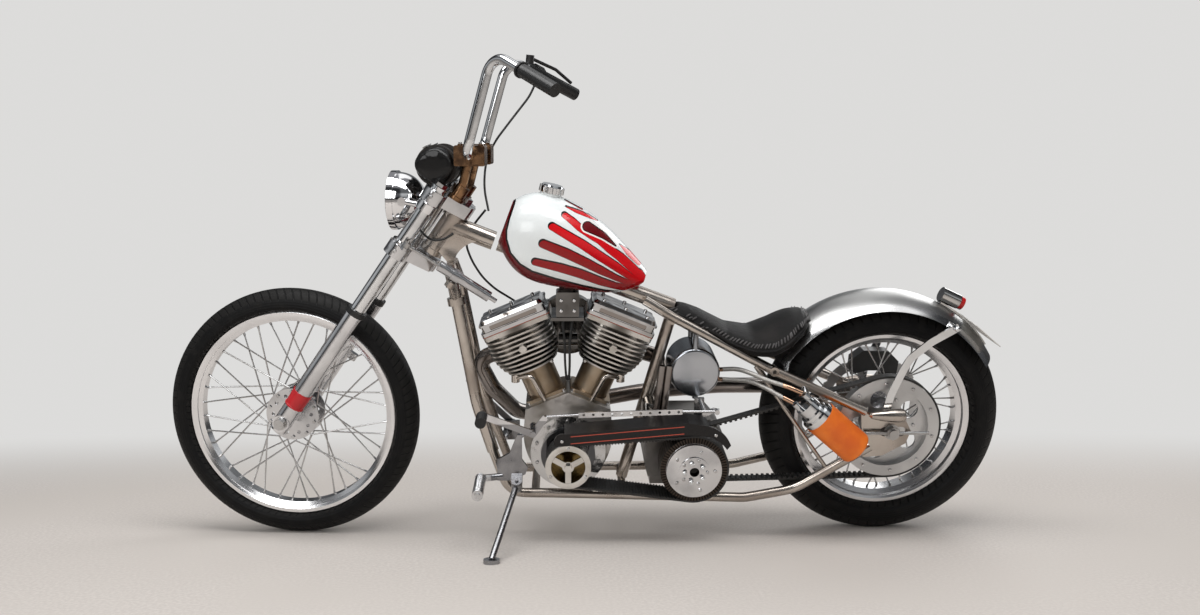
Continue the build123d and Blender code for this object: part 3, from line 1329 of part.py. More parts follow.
BAR_RISE = (1024, 127, 1288)
BAR_END = (860, 270, 1199)
BAR_LEFT = [BAR_END, BAR_RISE, (1094, 121, 1038)]
BAR_PATH = BAR_LEFT + [(x, -y, z) for x, y, z in reversed(BAR_LEFT)]
with BuildPart() as handlebar:
    add(tube(BAR_PATH, [45, 45, 45, 45], BAR_D))
keep(handlebar, "handlebar", steered=True)

GRIP_LONG = 124.0
LEVER_D = 9.0
with BuildPart() as grips:
    for way in (1, -1):
        end = Vector(BAR_END[0], way * BAR_END[1], BAR_END[2])
        run = (Vector(BAR_RISE[0], way * BAR_RISE[1], BAR_RISE[2]) - end).normalized()
        add(rod(end - run * 6, end + run * GRIP_LONG, 34))
        add(rod(end + run * (GRIP_LONG - 6), end + run * GRIP_LONG, 40))
        if way < 0:
            add(rod(end + run * GRIP_LONG, end + run * (GRIP_LONG + 26), 46))
            perch = end + run * (GRIP_LONG + 38)
            add(rod(end + run * (GRIP_LONG + 26), end + run * (GRIP_LONG + 50), 38))
            add(rod(perch, perch + Vector(-4, 2, 38), 22))
            add(tube([perch + Vector(-4, 2, 30), (906, -226, 1262), (868, -266, 1228)], [30], LEVER_D))
        add(rod(end - run * SEAT_GAP, end + run * (GRIP_LONG + 60), BAR_D + 2 * SEAT_GAP), mode=Mode.SUBTRACT)
keep(grips, "grips", steered=True)

POUCH_R = 50.0
with BuildPart() as pouch:
    middle = Vector(CLAMP.X + 39 + SEAT_GAP + POUCH_R, 0, 1012)
    add(rod(middle - LEFT * 70, middle + LEFT * 70, 2 * POUCH_R))
    fillet(pouch.edges().filter_by(GeomType.CIRCLE), 12)
keep(pouch, "pouch", steered=True)

# Steering damper, drawn as it stands parked

with BuildPart() as damper_body:
    add(rod(DAMPER_HINGE - DAMPER_RUN * 101, DAMPER_HINGE + DAMPER_RUN * 50, DAMPER_D))
    add(rod(DAMPER_HINGE - DAMPER_RUN * 122, DAMPER_HINGE - DAMPER_RUN * 101, 12))
    add(rod(DAMPER_HINGE - DAMPER_RUN * 11, DAMPER_HINGE + DAMPER_RUN * 11, DAMPER_D + 8))
    add(rod(DAMPER_HINGE, DAMPER_HINGE - AXIS_UP * 38, TRUNNION_D))
    add(rod(DAMPER_HINGE - DAMPER_RUN * 92, DAMPER_HINGE + DAMPER_RUN * 60, DAMPER_ROD_D + 2 * RUNNING_GAP),
        mode=Mode.SUBTRACT)
keep(damper_body, "damper_body")

with BuildPart() as damper_rod:
    add(rod(DAMPER_EYE - DAMPER_RUN * 158, DAMPER_EYE, DAMPER_ROD_D))
    add(rod(DAMPER_EYE - DAMPER_RUN * 22, DAMPER_EYE, 11))
    add(rod(DAMPER_EYE - AXIS_UP * EYE_HALF, DAMPER_EYE + AXIS_UP * (EYE_HALF + 1), 20))
keep(damper_rod, "damper_rod")

# Throttle cable, in two lengths that meet behind the head, and the lamp's wiring
CABLE_D = 6.0
CABLE_UPPER = [
    (957, -187, 1226), (972, -177, 1190), (1018, -164, 1130), (1066, -152, 1066), (1088, -138, 1010),
    (1088, -108, 946), (1070, -72, 888),
]
CABLE_LOWER = [
    (1071.6, -71.2, 884.9), (1104, -66, 846), (1128, -62, 800), (1112, -62, 750), (1084, -64, 703),
    (1050, -70, 668), (1012, -80, 642), (968, -102, 606), (924, -116, 578), (889.3, -118, 564),
]
WIRING = [(1247.5, 17.6, 863.7), (1222, 36, 834), (1196, 41, 818), (1166, 43, 824), (1143, 39.5, 838)]
with BuildPart() as throttle_cable_upper:
    add(cable(CABLE_UPPER, CABLE_D))
keep(throttle_cable_upper, "throttle_cable_upper", steered=True)
with BuildPart() as throttle_cable_lower:
    add(cable(CABLE_LOWER, CABLE_D))
keep(throttle_cable_lower, "throttle_cable_lower")
with BuildPart() as wiring_loop:
    add(cable(WIRING, CABLE_D))
keep(wiring_loop, "wiring_loop", steered=True)
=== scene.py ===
# %% [markdown]
# # A parked chopper
# The hard parts of this machine were drawn as solids and packed: they load here as a fixed frame, each
# already at its place, in metres. What is made here is the finish of every part, the soft leather pieces
# and the small things, such as bolts and stitches, that are quicker to model by hand.

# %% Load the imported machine
import json
import math
import bpy
from mathutils import Matrix, Vector
from mathutils.bvhtree import BVHTree
from mathutils.kdtree import KDTree

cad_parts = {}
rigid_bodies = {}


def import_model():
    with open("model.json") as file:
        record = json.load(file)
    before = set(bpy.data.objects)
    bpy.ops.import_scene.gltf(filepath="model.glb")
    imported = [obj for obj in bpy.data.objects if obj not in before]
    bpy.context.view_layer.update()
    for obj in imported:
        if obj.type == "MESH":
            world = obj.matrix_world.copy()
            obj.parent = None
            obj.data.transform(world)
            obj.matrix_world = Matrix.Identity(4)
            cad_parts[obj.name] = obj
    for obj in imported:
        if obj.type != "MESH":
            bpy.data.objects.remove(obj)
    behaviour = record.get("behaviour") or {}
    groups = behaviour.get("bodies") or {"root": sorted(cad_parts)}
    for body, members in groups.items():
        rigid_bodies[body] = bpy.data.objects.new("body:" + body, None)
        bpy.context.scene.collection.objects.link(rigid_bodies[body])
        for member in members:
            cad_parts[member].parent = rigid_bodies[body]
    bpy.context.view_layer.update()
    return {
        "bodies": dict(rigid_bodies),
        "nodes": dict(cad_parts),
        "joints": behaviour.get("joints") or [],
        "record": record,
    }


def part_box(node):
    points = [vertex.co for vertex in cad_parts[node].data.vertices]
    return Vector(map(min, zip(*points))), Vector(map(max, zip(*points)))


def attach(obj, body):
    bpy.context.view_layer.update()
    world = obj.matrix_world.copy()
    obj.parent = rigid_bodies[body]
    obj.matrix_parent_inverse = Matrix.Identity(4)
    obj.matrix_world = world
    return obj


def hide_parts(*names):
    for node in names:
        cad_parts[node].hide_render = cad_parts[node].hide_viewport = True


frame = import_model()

nodes = frame["nodes"]
print("parts loaded:", len(nodes))

# %% [markdown]
# The machine leans to its left on its stand and its fork is turned a little to the right. Pieces are
# easier to model on an upright machine, so two matrices carry them from there to the parked place. The
# upright machine has x forward from the rear axle, y to its left and z up.

# %% The parked place
LEAN = math.radians(13)
TURN = math.radians(-6.5)
PARK_AT = (-0.8, -0.1685, 0)
PARK = Matrix.Translation(PARK_AT) @ Matrix.Rotation(-LEAN, 4, "X")
RAKE = math.radians(34.5)
FORK_UP = Vector((-math.sin(RAKE), 0, math.cos(RAKE)))
FORK_AHEAD = Vector((math.cos(RAKE), 0, math.sin(RAKE)))
FRONT_AXLE = Vector((1.59, 0, 0.34261))
REAR_AXLE = Vector((0, 0, 0.32934))
AXLE_LEAD = 0.060    # from the fork's line to the front axle
FORK_FOOT = FRONT_AXLE - FORK_AHEAD * AXLE_LEAD
STEERED = (PARK @ Matrix.Translation(FORK_FOOT) @ Matrix.Rotation(TURN, 4, FORK_UP)
           @ Matrix.Translation(-FORK_FOOT))
print("front axle parked at", tuple(round(v, 4) for v in STEERED @ FRONT_AXLE))

# %% [markdown]
# The camera stands low on the machine's left and looks almost square at it. It is made first, because
# every later step is seen through it.

# %% Camera
EYE = Vector((0.0589, 2.8014, 0.6737))
YAW, PITCH = math.radians(-1.867), math.radians(-0.63)
AHEAD = Vector((math.sin(YAW) * math.cos(PITCH), -math.cos(YAW) * math.cos(PITCH), math.sin(PITCH)))
lens = bpy.data.cameras.new("camera")
lens.sensor_width = 36
lens.lens = 31.8
lens.shift_y = -0.0079
camera = bpy.data.objects.new("camera", lens)
camera.location = EYE
camera.rotation_euler = AHEAD.to_track_quat("-Z", "Y").to_euler()
bpy.context.scene.collection.objects.link(camera)
bpy.context.scene.camera = camera
bpy.context.scene.view_settings.view_transform = "Standard"
print("camera looks along", tuple(round(v, 3) for v in AHEAD))

# %% [markdown]
# Shader maths reads best as plain formulas. A Wire holds one output of a node tree, and its operators add
# Math nodes, so a mask such as 1.0 - seal is written as on paper and not one node at a time.

# %% Wires
class Wire:
    """One output socket, with Python's operators as Math nodes."""

    def __init__(self, tree, socket):
        self.tree = tree
        self.socket = socket

    def math(self, operation, *others):
        return self.tree.node("ShaderNodeMath", {"operation": operation}, dict(enumerate((self, *others))))

    def swapped(self, operation, other):
        return self.tree.node("ShaderNodeMath", {"operation": operation}, {0: other, 1: self})

    def __add__(self, other):
        return self.math("ADD", other)

    def __radd__(self, other):
        return self.swapped("ADD", other)

    def __sub__(self, other):
        return self.math("SUBTRACT", other)

    def __rsub__(self, other):
        return self.swapped("SUBTRACT", other)

    def __mul__(self, other):
        return self.math("MULTIPLY", other)

    def __rmul__(self, other):
        return self.swapped("MULTIPLY", other)

    def __truediv__(self, other):
        return self.math("DIVIDE", other)

    def __rtruediv__(self, other):
        return self.swapped("DIVIDE", other)

    def __abs__(self):
        return self.math("ABSOLUTE")


def hypot(a, b):
    return (a * a + b * b).math("SQRT")


print("wires take + - * / and abs")

# %% [markdown]
# Everything else in a material is a node too. A Tree adds any node from its type, its settings and the
# values or wires of its sockets, and it has short names for the few that nearly every finish needs.

# %% Node trees
def rgb(red, green, blue):
    return (red, green, blue, 1.0)


class Tree:
    """A node tree, built node by node."""

    def __init__(self, tree):
        self.tree = tree

    def node(self, kind, settings=None, values=None, out=0):
        made = self.tree.nodes.new(kind)
        for key, value in (settings or {}).items():
            if key == "stops":
                ramp = made.color_ramp
                ramp.elements[0].position, ramp.elements[0].color = value[0]
                ramp.elements[1].position, ramp.elements[1].color = value[-1]
                for position, colour in value[1:-1]:
                    ramp.elements.new(position).color = colour
            else:
                setattr(made, key, value)
        for key, value in (values or {}).items():
            if isinstance(value, Wire):
                self.tree.links.new(value.socket, made.inputs[key])
            else:
                made.inputs[key].default_value = value
        return Wire(self, made.outputs[out])

    def step(self, value, low, high):
        return self.node("ShaderNodeMapRange", {"interpolation_type": "SMOOTHSTEP"},
                         {0: value, 1: low, 2: high, 3: 0.0, 4: 1.0})

    def mix(self, factor, first, second):
        first, second = (c if isinstance(c, Wire) else rgb(*c[:3]) for c in (first, second))
        return self.node("ShaderNodeMix", {"data_type": "RGBA"}, {0: factor, 6: first, 7: second}, out=2)

    def vector(self, operation, *values, out=0):
        return self.node("ShaderNodeVectorMath", {"operation": operation}, dict(enumerate(values)), out)

    def dot(self, place, direction):
        return self.vector("DOT_PRODUCT", place, direction, out="Value")

    def point(self, x, y, z=0.0):
        return self.node("ShaderNodeCombineXYZ", {}, {0: x, 1: y, 2: z})

    def split(self, place):
        apart = self.node("ShaderNodeSeparateXYZ", {}, {0: place})
        return [Wire(self, output) for output in apart.socket.node.outputs]


print("node trees ready")

# %% [markdown]
# A Finish is one material. Its patterns read the place on the machine in metres, not a map of the surface,
# so they need no unwrapping and have the right size at once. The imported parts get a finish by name.

# %% Finishes
class Finish(Tree):
    """One material with a Principled shader."""

    def __init__(self, name, **uniform):
        self.material = bpy.data.materials.new(name)
        self.material.use_nodes = True
        super().__init__(self.material.node_tree)
        self.shader = self.tree.nodes["Principled BSDF"]
        self.place = self.node("ShaderNodeTexCoord", out="Object")
        for socket, value in uniform.items():
            self.set(socket.replace("_", " "), value)

    def set(self, name, value):
        if isinstance(value, Wire):
            self.tree.links.new(value.socket, self.shader.inputs[name])
        else:
            self.shader.inputs[name].default_value = value

    def noise(self, scale, detail=3.0, place=None):
        values = {"Vector": place or self.place, "Scale": scale, "Detail": detail}
        return self.node("ShaderNodeTexNoise", {}, values)

    def cells(self, scale):
        return self.node("ShaderNodeTexVoronoi", {}, {"Vector": self.place, "Scale": scale})

    def patches(self, scale, low, high, detail=3.0):
        """Soft-edged patches, from noise between two levels."""
        return self.step(self.noise(scale, detail), low, high)

    def bump(self, height, distance=1.0):
        values = {"Height": height, "Distance": distance, "Strength": 1.0}
        self.set("Normal", self.node("ShaderNodeBump", {}, values, out="Normal"))

    def local(self, matrix=PARK):
        """x, y and z of the upright machine, in metres, or with the fork straight."""
        back = matrix.inverted()
        return [self.dot(self.place, Vector(back[i][:3])) + back[i][3] for i in range(3)]

    def round_axle(self, centre, axis, start):
        """Radius, angle and place along the axle, for a pattern that goes round a wheel."""
        across = axis.cross(start).normalized()
        away = self.vector("SUBTRACT", self.place, centre)
        a, b = self.dot(away, start), self.dot(away, across)
        return hypot(a, b), b.math("ARCTAN2", a), self.dot(away, axis)


coated = set()


def coat(finish, *names):
    """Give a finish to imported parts."""
    for name in names:
        nodes[name].data.materials.clear()
        nodes[name].data.materials.append(finish.material)
    coated.update(names)
    print(finish.material.name, "on", *names)


print("finishes ready")

# %% [markdown]
# Most of this machine is bare metal, and bare metal is never one even grey: the polish is uneven, oil and
# fingers leave faint clouds, and brushing leaves hair lines. It could be one grey with a low roughness, but
# that looks like plastic. One recipe covers them all: a tint and a roughness that drift together, a very
# fine bump, and slow waves, because a surface polished by hand is never quite flat.

# %% Bare metals
FINE, SLOW = 420.0, 26.0    # features to a metre


def bare_metal(name, light, dark, rough, cloud=9.0, drift=0.10, wave=0.0010):
    """The clouds are counted to a metre, and the wave's depth is in metres."""
    finish = Finish(name, Metallic=1.0)
    fine = finish.noise(FINE, 2.0)
    patch = finish.patches(cloud, 0.38, 0.66, 4.0)
    finish.set("Base Color", finish.mix(patch, light, dark))
    finish.set("Roughness", patch * drift + fine * (rough * 0.5) + rough * 0.75)
    finish.bump(fine * 0.00002 + finish.noise(SLOW, 1.0) * wave)
    return finish


chrome = bare_metal("chrome", (0.80, 0.81, 0.82), (0.64, 0.65, 0.66), 0.06, drift=0.05, wave=0.0004)
polished = bare_metal("polished_alloy", (0.68, 0.68, 0.69), (0.50, 0.50, 0.51), 0.13, wave=0.0028)
stainless = bare_metal("stainless", (0.60, 0.60, 0.60), (0.44, 0.43, 0.42), 0.20)
steel = bare_metal("bracket_steel", (0.36, 0.36, 0.37), (0.22, 0.22, 0.23), 0.24)
nickel = bare_metal("frame_nickel", (0.56, 0.51, 0.46), (0.38, 0.33, 0.29), 0.20, cloud=6.0, drift=0.14)
satin = bare_metal("satin_alloy", (0.52, 0.51, 0.50), (0.36, 0.35, 0.34), 0.30)
dark_chrome = bare_metal("dark_chrome", (0.16, 0.155, 0.15), (0.09, 0.085, 0.08), 0.12)
pipe = bare_metal("pipe_metal", (0.30, 0.275, 0.26), (0.17, 0.145, 0.13), 0.16, cloud=5.0)
coat(chrome, "fork_tubes", "handlebar", "fender_struts", "filler_cap", "filter_head")
coat(polished, "front_hub", "rear_hub", "steering_trees", "damper_body")
coat(stainless, "front_spokes", "rear_spokes", "rear_axle", "front_axle", "damper_rod")
coat(nickel, "backbone", "front_downtubes", "lower_rails", "upper_rails", "seat_post", "axle_plates")
coat(satin, "cam_cover")
coat(dark_chrome, "carburettor", "engine_top_mount")
coat(pipe, "exhaust", "breather_stacks")
print("bare metals on", len(coated), "parts")

# %% [markdown]
# Each fork slider is polished alloy with a black rubber seal where its tube goes in. They are one solid, and
# it could be cut in two, but a mask by height up the fork tells them apart without that.

# %% Fork sliders
slider = Finish("fork_slider")
x, y, z = slider.local(STEERED)
up_fork = (x - FORK_FOOT.x) * FORK_UP.x + (z - FORK_FOOT.z) * FORK_UP.z
seal = slider.step(up_fork, 0.3508, 0.3512)
haze = slider.patches(9.0, 0.38, 0.66)
alloy = slider.mix(haze, (0.78, 0.78, 0.79), (0.62, 0.62, 0.63))
slider.set("Base Color", slider.mix(seal, alloy, (0.012, 0.012, 0.012)))
slider.set("Metallic", 1.0 - seal)
slider.set("Roughness", seal * 0.25 + haze * 0.08 + 0.11)
slider.bump(slider.noise(FINE, 2.0), 0.00002)
coat(slider, "fork_sliders")

# %% [markdown]
# The foot controls and the stand are darker steel. The shift lever's toe peg is covered with black rubber,
# and the foot pegs are bright and ribbed. Masks by place change the finish there, and a wave across the peg
# gives the ribs as a bump, which is enough at their size.

# %% Foot controls
RIBS = 900.0    # radians to a metre
controls = Finish("control_steel")
x, y, z = controls.local()
toe = controls.step(abs(y), 0.2045, 0.2050) * controls.step(z, 0.380, 0.384)
peg = controls.step(abs(y), 0.1600, 0.1604) * (1.0 - controls.step(z, 0.2305, 0.2310))
peg = peg * controls.step(x, 1.05, 1.055)
link = controls.step(z, 0.3795, 0.3800) * (1.0 - toe)
grime = controls.patches(14.0, 0.35, 0.7)
dull = controls.mix(grime, (0.36, 0.36, 0.37), (0.20, 0.20, 0.21))
bright = controls.mix(grime, (0.74, 0.74, 0.75), (0.56, 0.56, 0.57))
metal = controls.mix(peg.math("MAXIMUM", link), dull, bright)
controls.set("Base Color", controls.mix(toe, metal, (0.010, 0.010, 0.010)))
controls.set("Metallic", 1.0 - toe)
controls.set("Roughness", toe * 0.28 + grime * 0.1 + 0.20)
controls.bump(((y * RIBS).math("SINE") * 0.5 + 0.5) * peg.math("MAXIMUM", toe), 0.0016)
coat(controls, "shift_linkage", "left_foot_control", "right_foot_control")
coat(steel, "stand_leg")

# %% [markdown]
# A tyre is matt rubber with a tread cut into its crown. The tread goes round the wheel, so its pattern
# reads the angle round the axle and the distance from the middle of the tread.

# %% Tyres
def wheel_frame(axle, parked):
    """Centre, axis and way ahead of a parked wheel."""
    turn = parked.to_3x3()
    return parked @ axle, (turn @ Vector((0, 1, 0))).normalized(), (turn @ Vector((1, 0, 0))).normalized()


FRONT_WHEEL = wheel_frame(FRONT_AXLE, STEERED)
REAR_WHEEL = wheel_frame(REAR_AXLE, PARK)


def tread(name, wheel, crown_r, blocks):
    finish = Finish(name, IOR=1.45, Specular_IOR_Level=0.22)
    radius, angle, along = finish.round_axle(*wheel)
    out = abs(along) * (1 / crown_r)
    turns = angle * (blocks / math.tau)
    slant = (turns + out * 1.1 + 0.5).math("FRACT")
    bar = finish.step(abs(slant - 0.5), 0.05, 0.11)
    rib = finish.step(abs(out - 0.22), 0.02, 0.045)
    shoulder = finish.step(out, 0.86, 0.93)
    on_bars = finish.step(out, 0.26, 0.30)
    cut = rib * (1.0 - on_bars * (1.0 - bar))
    height = cut * (1.0 - shoulder) + shoulder
    rings = (radius * 900.0).math("SINE") * 0.06
    dust = finish.patches(30.0, 0.45, 0.75)
    wall = finish.mix(dust, (0.0035, 0.0035, 0.0038), (0.009, 0.0085, 0.008))
    # painted shade: the tread's cuts are coloured darker than its blocks
    crown = finish.mix(height, (0.002, 0.002, 0.002), (0.010, 0.0095, 0.009))
    finish.set("Base Color", finish.mix(shoulder, crown, wall))
    finish.set("Roughness", dust * 0.12 + 0.56)
    finish.bump(height + rings * shoulder + finish.noise(700.0) * 0.05, 0.003)
    return finish


coat(tread("front_rubber", FRONT_WHEEL, 0.044, 96), "front_tyre")
coat(tread("rear_rubber", REAR_WHEEL, 0.070, 72), "rear_tyre")

# %% [markdown]
# The rims are polished aluminium, and polishing on a wheel leaves fine lines that run round it. Noise that
# is stretched along the angle and squeezed across it draws such lines.

# %% Rims, pulley and disc
LINES = 900.0    # features to a metre, across the lines


def turned(name, wheel, light, dark, rough):
    finish = Finish(name, Metallic=1.0)
    radius, angle, along = finish.round_axle(*wheel)
    hair = finish.noise(1.0, 2.0, finish.point(radius * LINES, along * LINES, angle * 0.5))
    cloud = finish.patches(7.0, 0.35, 0.7)
    finish.set("Base Color", finish.mix(cloud, light, dark))
    finish.set("Roughness", hair * 0.14 + cloud * 0.06 + rough)
    finish.bump(hair, 0.00004)
    return finish


coat(turned("front_rim_polish", FRONT_WHEEL, (0.88, 0.88, 0.89), (0.76, 0.76, 0.77), 0.10), "front_rim")
coat(turned("rear_rim_polish", REAR_WHEEL, (0.84, 0.84, 0.85), (0.70, 0.70, 0.71), 0.12), "rear_rim")
coat(turned("pulley_face", REAR_WHEEL, (0.66, 0.66, 0.66), (0.52, 0.52, 0.52), 0.28), "rear_pulley")
coat(turned("disc_face", REAR_WHEEL, (0.60, 0.60, 0.60), (0.46, 0.46, 0.46), 0.26), "rear_brake_disc")

# %% [markdown]
# The two cylinders are mirror images about the crankshaft, so one distance up the cylinder, and one across
# it, serve both. The finishes of the engine read them to tell barrel, fins and gasket apart.

# %% Up the cylinders
CRANK_AT = (0.852, 0.259)    # x and z, as for every centre below
CRANK = Vector((CRANK_AT[0], 0, CRANK_AT[1]))
V_HALF = math.radians(22.5)


def up_cylinder(finish):
    """Distance up a cylinder and across it from its axis, and y."""
    x, y, z = finish.local()
    dx, dz = abs(x - CRANK.x), z - CRANK.z
    up = dx * math.sin(V_HALF) + dz * math.cos(V_HALF)
    across = dx * math.cos(V_HALF) - dz * math.sin(V_HALF)
    return up, across, y


print("angle between the cylinders:", round(math.degrees(V_HALF) * 2, 1))

# %% [markdown]
# The barrels are browned by heat, and the fins are bright at their edges with deep shade between them. The
# fins are real shapes, so only their colour changes, by height and by distance from the cylinder's axis.

# %% Cylinders
fins = Finish("fins_and_barrels", Metallic=1.0)
up, across, y = up_cylinder(fins)
from_axis = hypot(across, y)
on_barrel = 1.0 - fins.step(up, 0.2385, 0.2405)
deep = 1.0 - fins.step(from_axis, 0.058, 0.072)
heat = fins.patches(14.0, 0.3, 0.7)
barrel = fins.mix(heat, (0.44, 0.37, 0.29), (0.34, 0.26, 0.18))
edge = fins.mix(heat, (0.66, 0.64, 0.61), (0.50, 0.47, 0.43))
shaded = fins.mix(deep, edge, (0.10, 0.09, 0.08))
fins.set("Base Color", fins.mix(on_barrel, shaded, barrel))
fins.set("Roughness", heat * 0.14 + 0.26)
fins.bump(fins.noise(500.0), 0.00003)
coat(fins, "cylinders")

# %% [markdown]
# The rocker boxes are chromed and sit on a red gasket, which is a thin band of their own solid. Slow waves
# in the bump break up the reflections, as on a casting that was polished and plated.

# %% Rocker boxes
rocker = Finish("rocker_chrome")
up, across, y = up_cylinder(rocker)
gasket = rocker.step(up, 0.3625, 0.3630) * (1.0 - rocker.step(up, 0.3672, 0.3677))
# painted shade: a recessed band round the box's sides is coloured darker
recess_shade = (1.0 - rocker.step(abs(y), 0.0538, 0.0544)) * rocker.step(abs(y), 0.050, 0.0505)
smear = rocker.patches(12.0, 0.4, 0.7)
bright = rocker.mix(smear, (0.60, 0.60, 0.61), (0.40, 0.39, 0.38))
sunk = rocker.mix(recess_shade, bright, (0.30, 0.27, 0.25))
rocker.set("Base Color", rocker.mix(gasket, sunk, (0.30, 0.07, 0.035)))
rocker.set("Metallic", 1.0 - gasket)
rocker.set("Roughness", smear * 0.08 + gasket * 0.4 + 0.08)
rocker.bump(rocker.noise(20.0, 1.0), 0.0030)
coat(rocker, "rocker_boxes")

# %% [markdown]
# The crankcase is bead-blasted, so it is matt and grainy, with dark patches of oil and a polished rim round
# a dark cover. The grain fades out on the cover, which is smooth.

# %% Crankcase
case = Finish("cast_case", Metallic=1.0)
x, y, z = case.local()
dome = case.step(y, 0.0925, 0.0935)
blast = case.noise(260.0, 4.0)
oily = case.patches(10.0, 0.42, 0.68)
skin = case.mix(oily, (0.58, 0.56, 0.54), (0.24, 0.22, 0.19))
rim = case.step(y, 0.0785, 0.0790) * (1.0 - dome)
skin = case.mix(rim, skin, (0.62, 0.62, 0.62))
case.set("Base Color", case.mix(dome, skin, (0.10, 0.10, 0.105)))
case.set("Roughness", (1.0 - dome) * (1.0 - rim * 0.7) * (blast * 0.2 + 0.26) + 0.07)
case.bump((blast * 0.0003 + case.noise(30.0, 1.0) * 0.004) * (1.0 - dome))
coat(case, "crankcase")

# %% [markdown]
# The gearbox is darker and dirtier than the crankcase in front of it. The round can that stands on it is
# smooth and bright, so a mask by height changes the finish there.

# %% Gearbox
gearbox = Finish("gearbox_case", Metallic=1.0)
x, y, z = gearbox.local()
blast = gearbox.noise(260.0, 4.0)
can = gearbox.step(z, 0.338, 0.340)
skin = gearbox.mix(gearbox.patches(9.0, 0.4, 0.7), (0.30, 0.29, 0.28), (0.17, 0.16, 0.15))
gearbox.set("Base Color", gearbox.mix(can, skin, (0.48, 0.46, 0.43)))
gearbox.set("Roughness", (1.0 - can) * (blast * 0.2 + 0.26) + 0.12)
gearbox.bump(blast * (1.0 - can), 0.0003)
coat(gearbox, "transmission")

# %% [markdown]
# The open primary drive is the machine's show piece. Its front pulley is polished, with dark windows round
# the hub and a rim that is dished, which a bump by radius gives.

# %% Primary pulley
TURNING = 2500.0    # radians to a metre, for the lathe's fine rings
pulley = Finish("primary_pulley_face", Metallic=1.0)
x, y, z = pulley.local()
dx, dz = x - CRANK_AT[0], z - CRANK_AT[1]
radius = hypot(dx, dz)
window = (1.0 - pulley.step(radius, 0.0435, 0.0445)) * (1.0 - pulley.step(y, 0.1888, 0.1900))
on_rim = pulley.step(radius, 0.0435, 0.0445)
haze = pulley.patches(16.0, 0.4, 0.7)
face = pulley.mix(haze, (0.72, 0.70, 0.67), (0.54, 0.52, 0.48))
pulley.set("Base Color", pulley.mix(window, face, (0.17, 0.12, 0.05)))
pulley.set("Roughness", (radius * TURNING).math("SINE") * 0.04 + haze * 0.08 + 0.16)
from_rim = (radius - 0.052) * (1 / 0.009)
pulley.bump(from_rim * from_rim * on_rim * -0.0016)
coat(pulley, "primary_pulley")

# %% [markdown]
# The clutch has a polished cover inside a toothed black ring. The ring's teeth are counted by the angle, and
# the cover is dished in the same way as the pulley.

# %% Clutch
CLUTCH_AT = (0.527, 0.248)
TEETH = 70
clutch = Finish("clutch_cover", Metallic=1.0)
x, y, z = clutch.local()
dx, dz = x - CLUTCH_AT[0], z - CLUTCH_AT[1]
radius = hypot(dx, dz)
angle = dz.math("ARCTAN2", dx)
teeth = clutch.step((angle * (TEETH / math.tau)).math("FRACT"), 0.35, 0.5)
ring = clutch.step(radius, 0.0718, 0.0722)
# painted shade: the hub's bore is coloured nearly black
bore_shade = 1.0 - clutch.step(radius, 0.0122, 0.0128)
haze = clutch.patches(16.0, 0.4, 0.7)
face = clutch.mix(haze, (0.74, 0.74, 0.75), (0.56, 0.56, 0.57))
# painted light and shade: each tooth is coloured lighter than the gap beside it
black = clutch.mix(teeth, (0.015, 0.013, 0.012), (0.07, 0.055, 0.045))
clutch.set("Base Color", clutch.mix(bore_shade, clutch.mix(ring, face, black), (0.02, 0.02, 0.02)))
clutch.set("Roughness", (radius * TURNING).math("SINE") * 0.03 + ring * 0.3 + haze * 0.06 + 0.13)
clutch.bump(teeth * ring * 0.001 - radius * radius * 1.6)
coat(clutch, "clutch")

# %% [markdown]
# Both belts are black rubber with a woven back. Their teeth are real shapes, so the finish only adds the
# weave's fine ribs and some dust.

# %% Belts
belt = Finish("belt_rubber", IOR=1.5)
x, y, z = belt.local()
weave = (y * 2600.0).math("SINE") * 0.5 + 0.5
dust = belt.patches(40.0, 0.4, 0.8)
belt.set("Base Color", belt.mix(dust, (0.012, 0.012, 0.012), (0.035, 0.032, 0.029)))
belt.set("Roughness", dust * 0.2 + 0.5)
belt.bump(weave + belt.noise(600.0) * 0.3, 0.0004)
coat(belt, "primary_belt", "drive_belt")

# %% [markdown]
# The belt guard is gloss black with a plain double pinstripe. Each stripe is a thin band about a sloping
# line, and both end before the guard does.

# %% Belt guard
STRIPE_START = 0.543
STRIPE_SLOPE = 0.0878
guard = Finish("belt_guard_black", Specular_IOR_Level=0.3)
x, y, z = guard.local()
fall = (x - STRIPE_START) * STRIPE_SLOPE
line = 2.0 - sum(guard.step(abs(z - (height - fall)), 0.0008, 0.0014) for height in (0.3705, 0.3515))
inside = guard.step(x, 0.555, 0.556) * (1.0 - guard.step(x, 0.845, 0.846)) * guard.step(y, 0.1990, 0.1995)
speck = guard.noise(900.0)
base = guard.mix(guard.step(speck, 0.5, 0.7), (0.009, 0.008, 0.008), (0.022, 0.019, 0.018))
guard.set("Base Color", guard.mix(line * inside, base, (0.50, 0.08, 0.05)))
guard.set("Roughness", speck * 0.15 + 0.22)
coat(guard, "belt_guard")

# %% [markdown]
# The tank's paint is a pearl white field with candy red scallops. Each scallop is a row of round-ended
# strokes that get thinner towards the tank's tip, laid out on a flat drawing of the tank's side, as seen
# from where the camera stands. A drawing is easier to correct than masks in metres would be.

# %% The tank's drawing
DRAWING_RIGHT = AHEAD.cross(Vector((0, 0, 1))).normalized()
DRAWING_UP = DRAWING_RIGHT.cross(AHEAD)
FOCAL = 1060.0    # the lens in pixels of a frame 1200 wide
MIDDLE = (600.0, 298.0)    # what the lens looks at on that frame
CORNER = (490.0, 180.0)    # the drawing's first corner on that frame
LARGER = 9.2235    # the drawing's scale on that frame
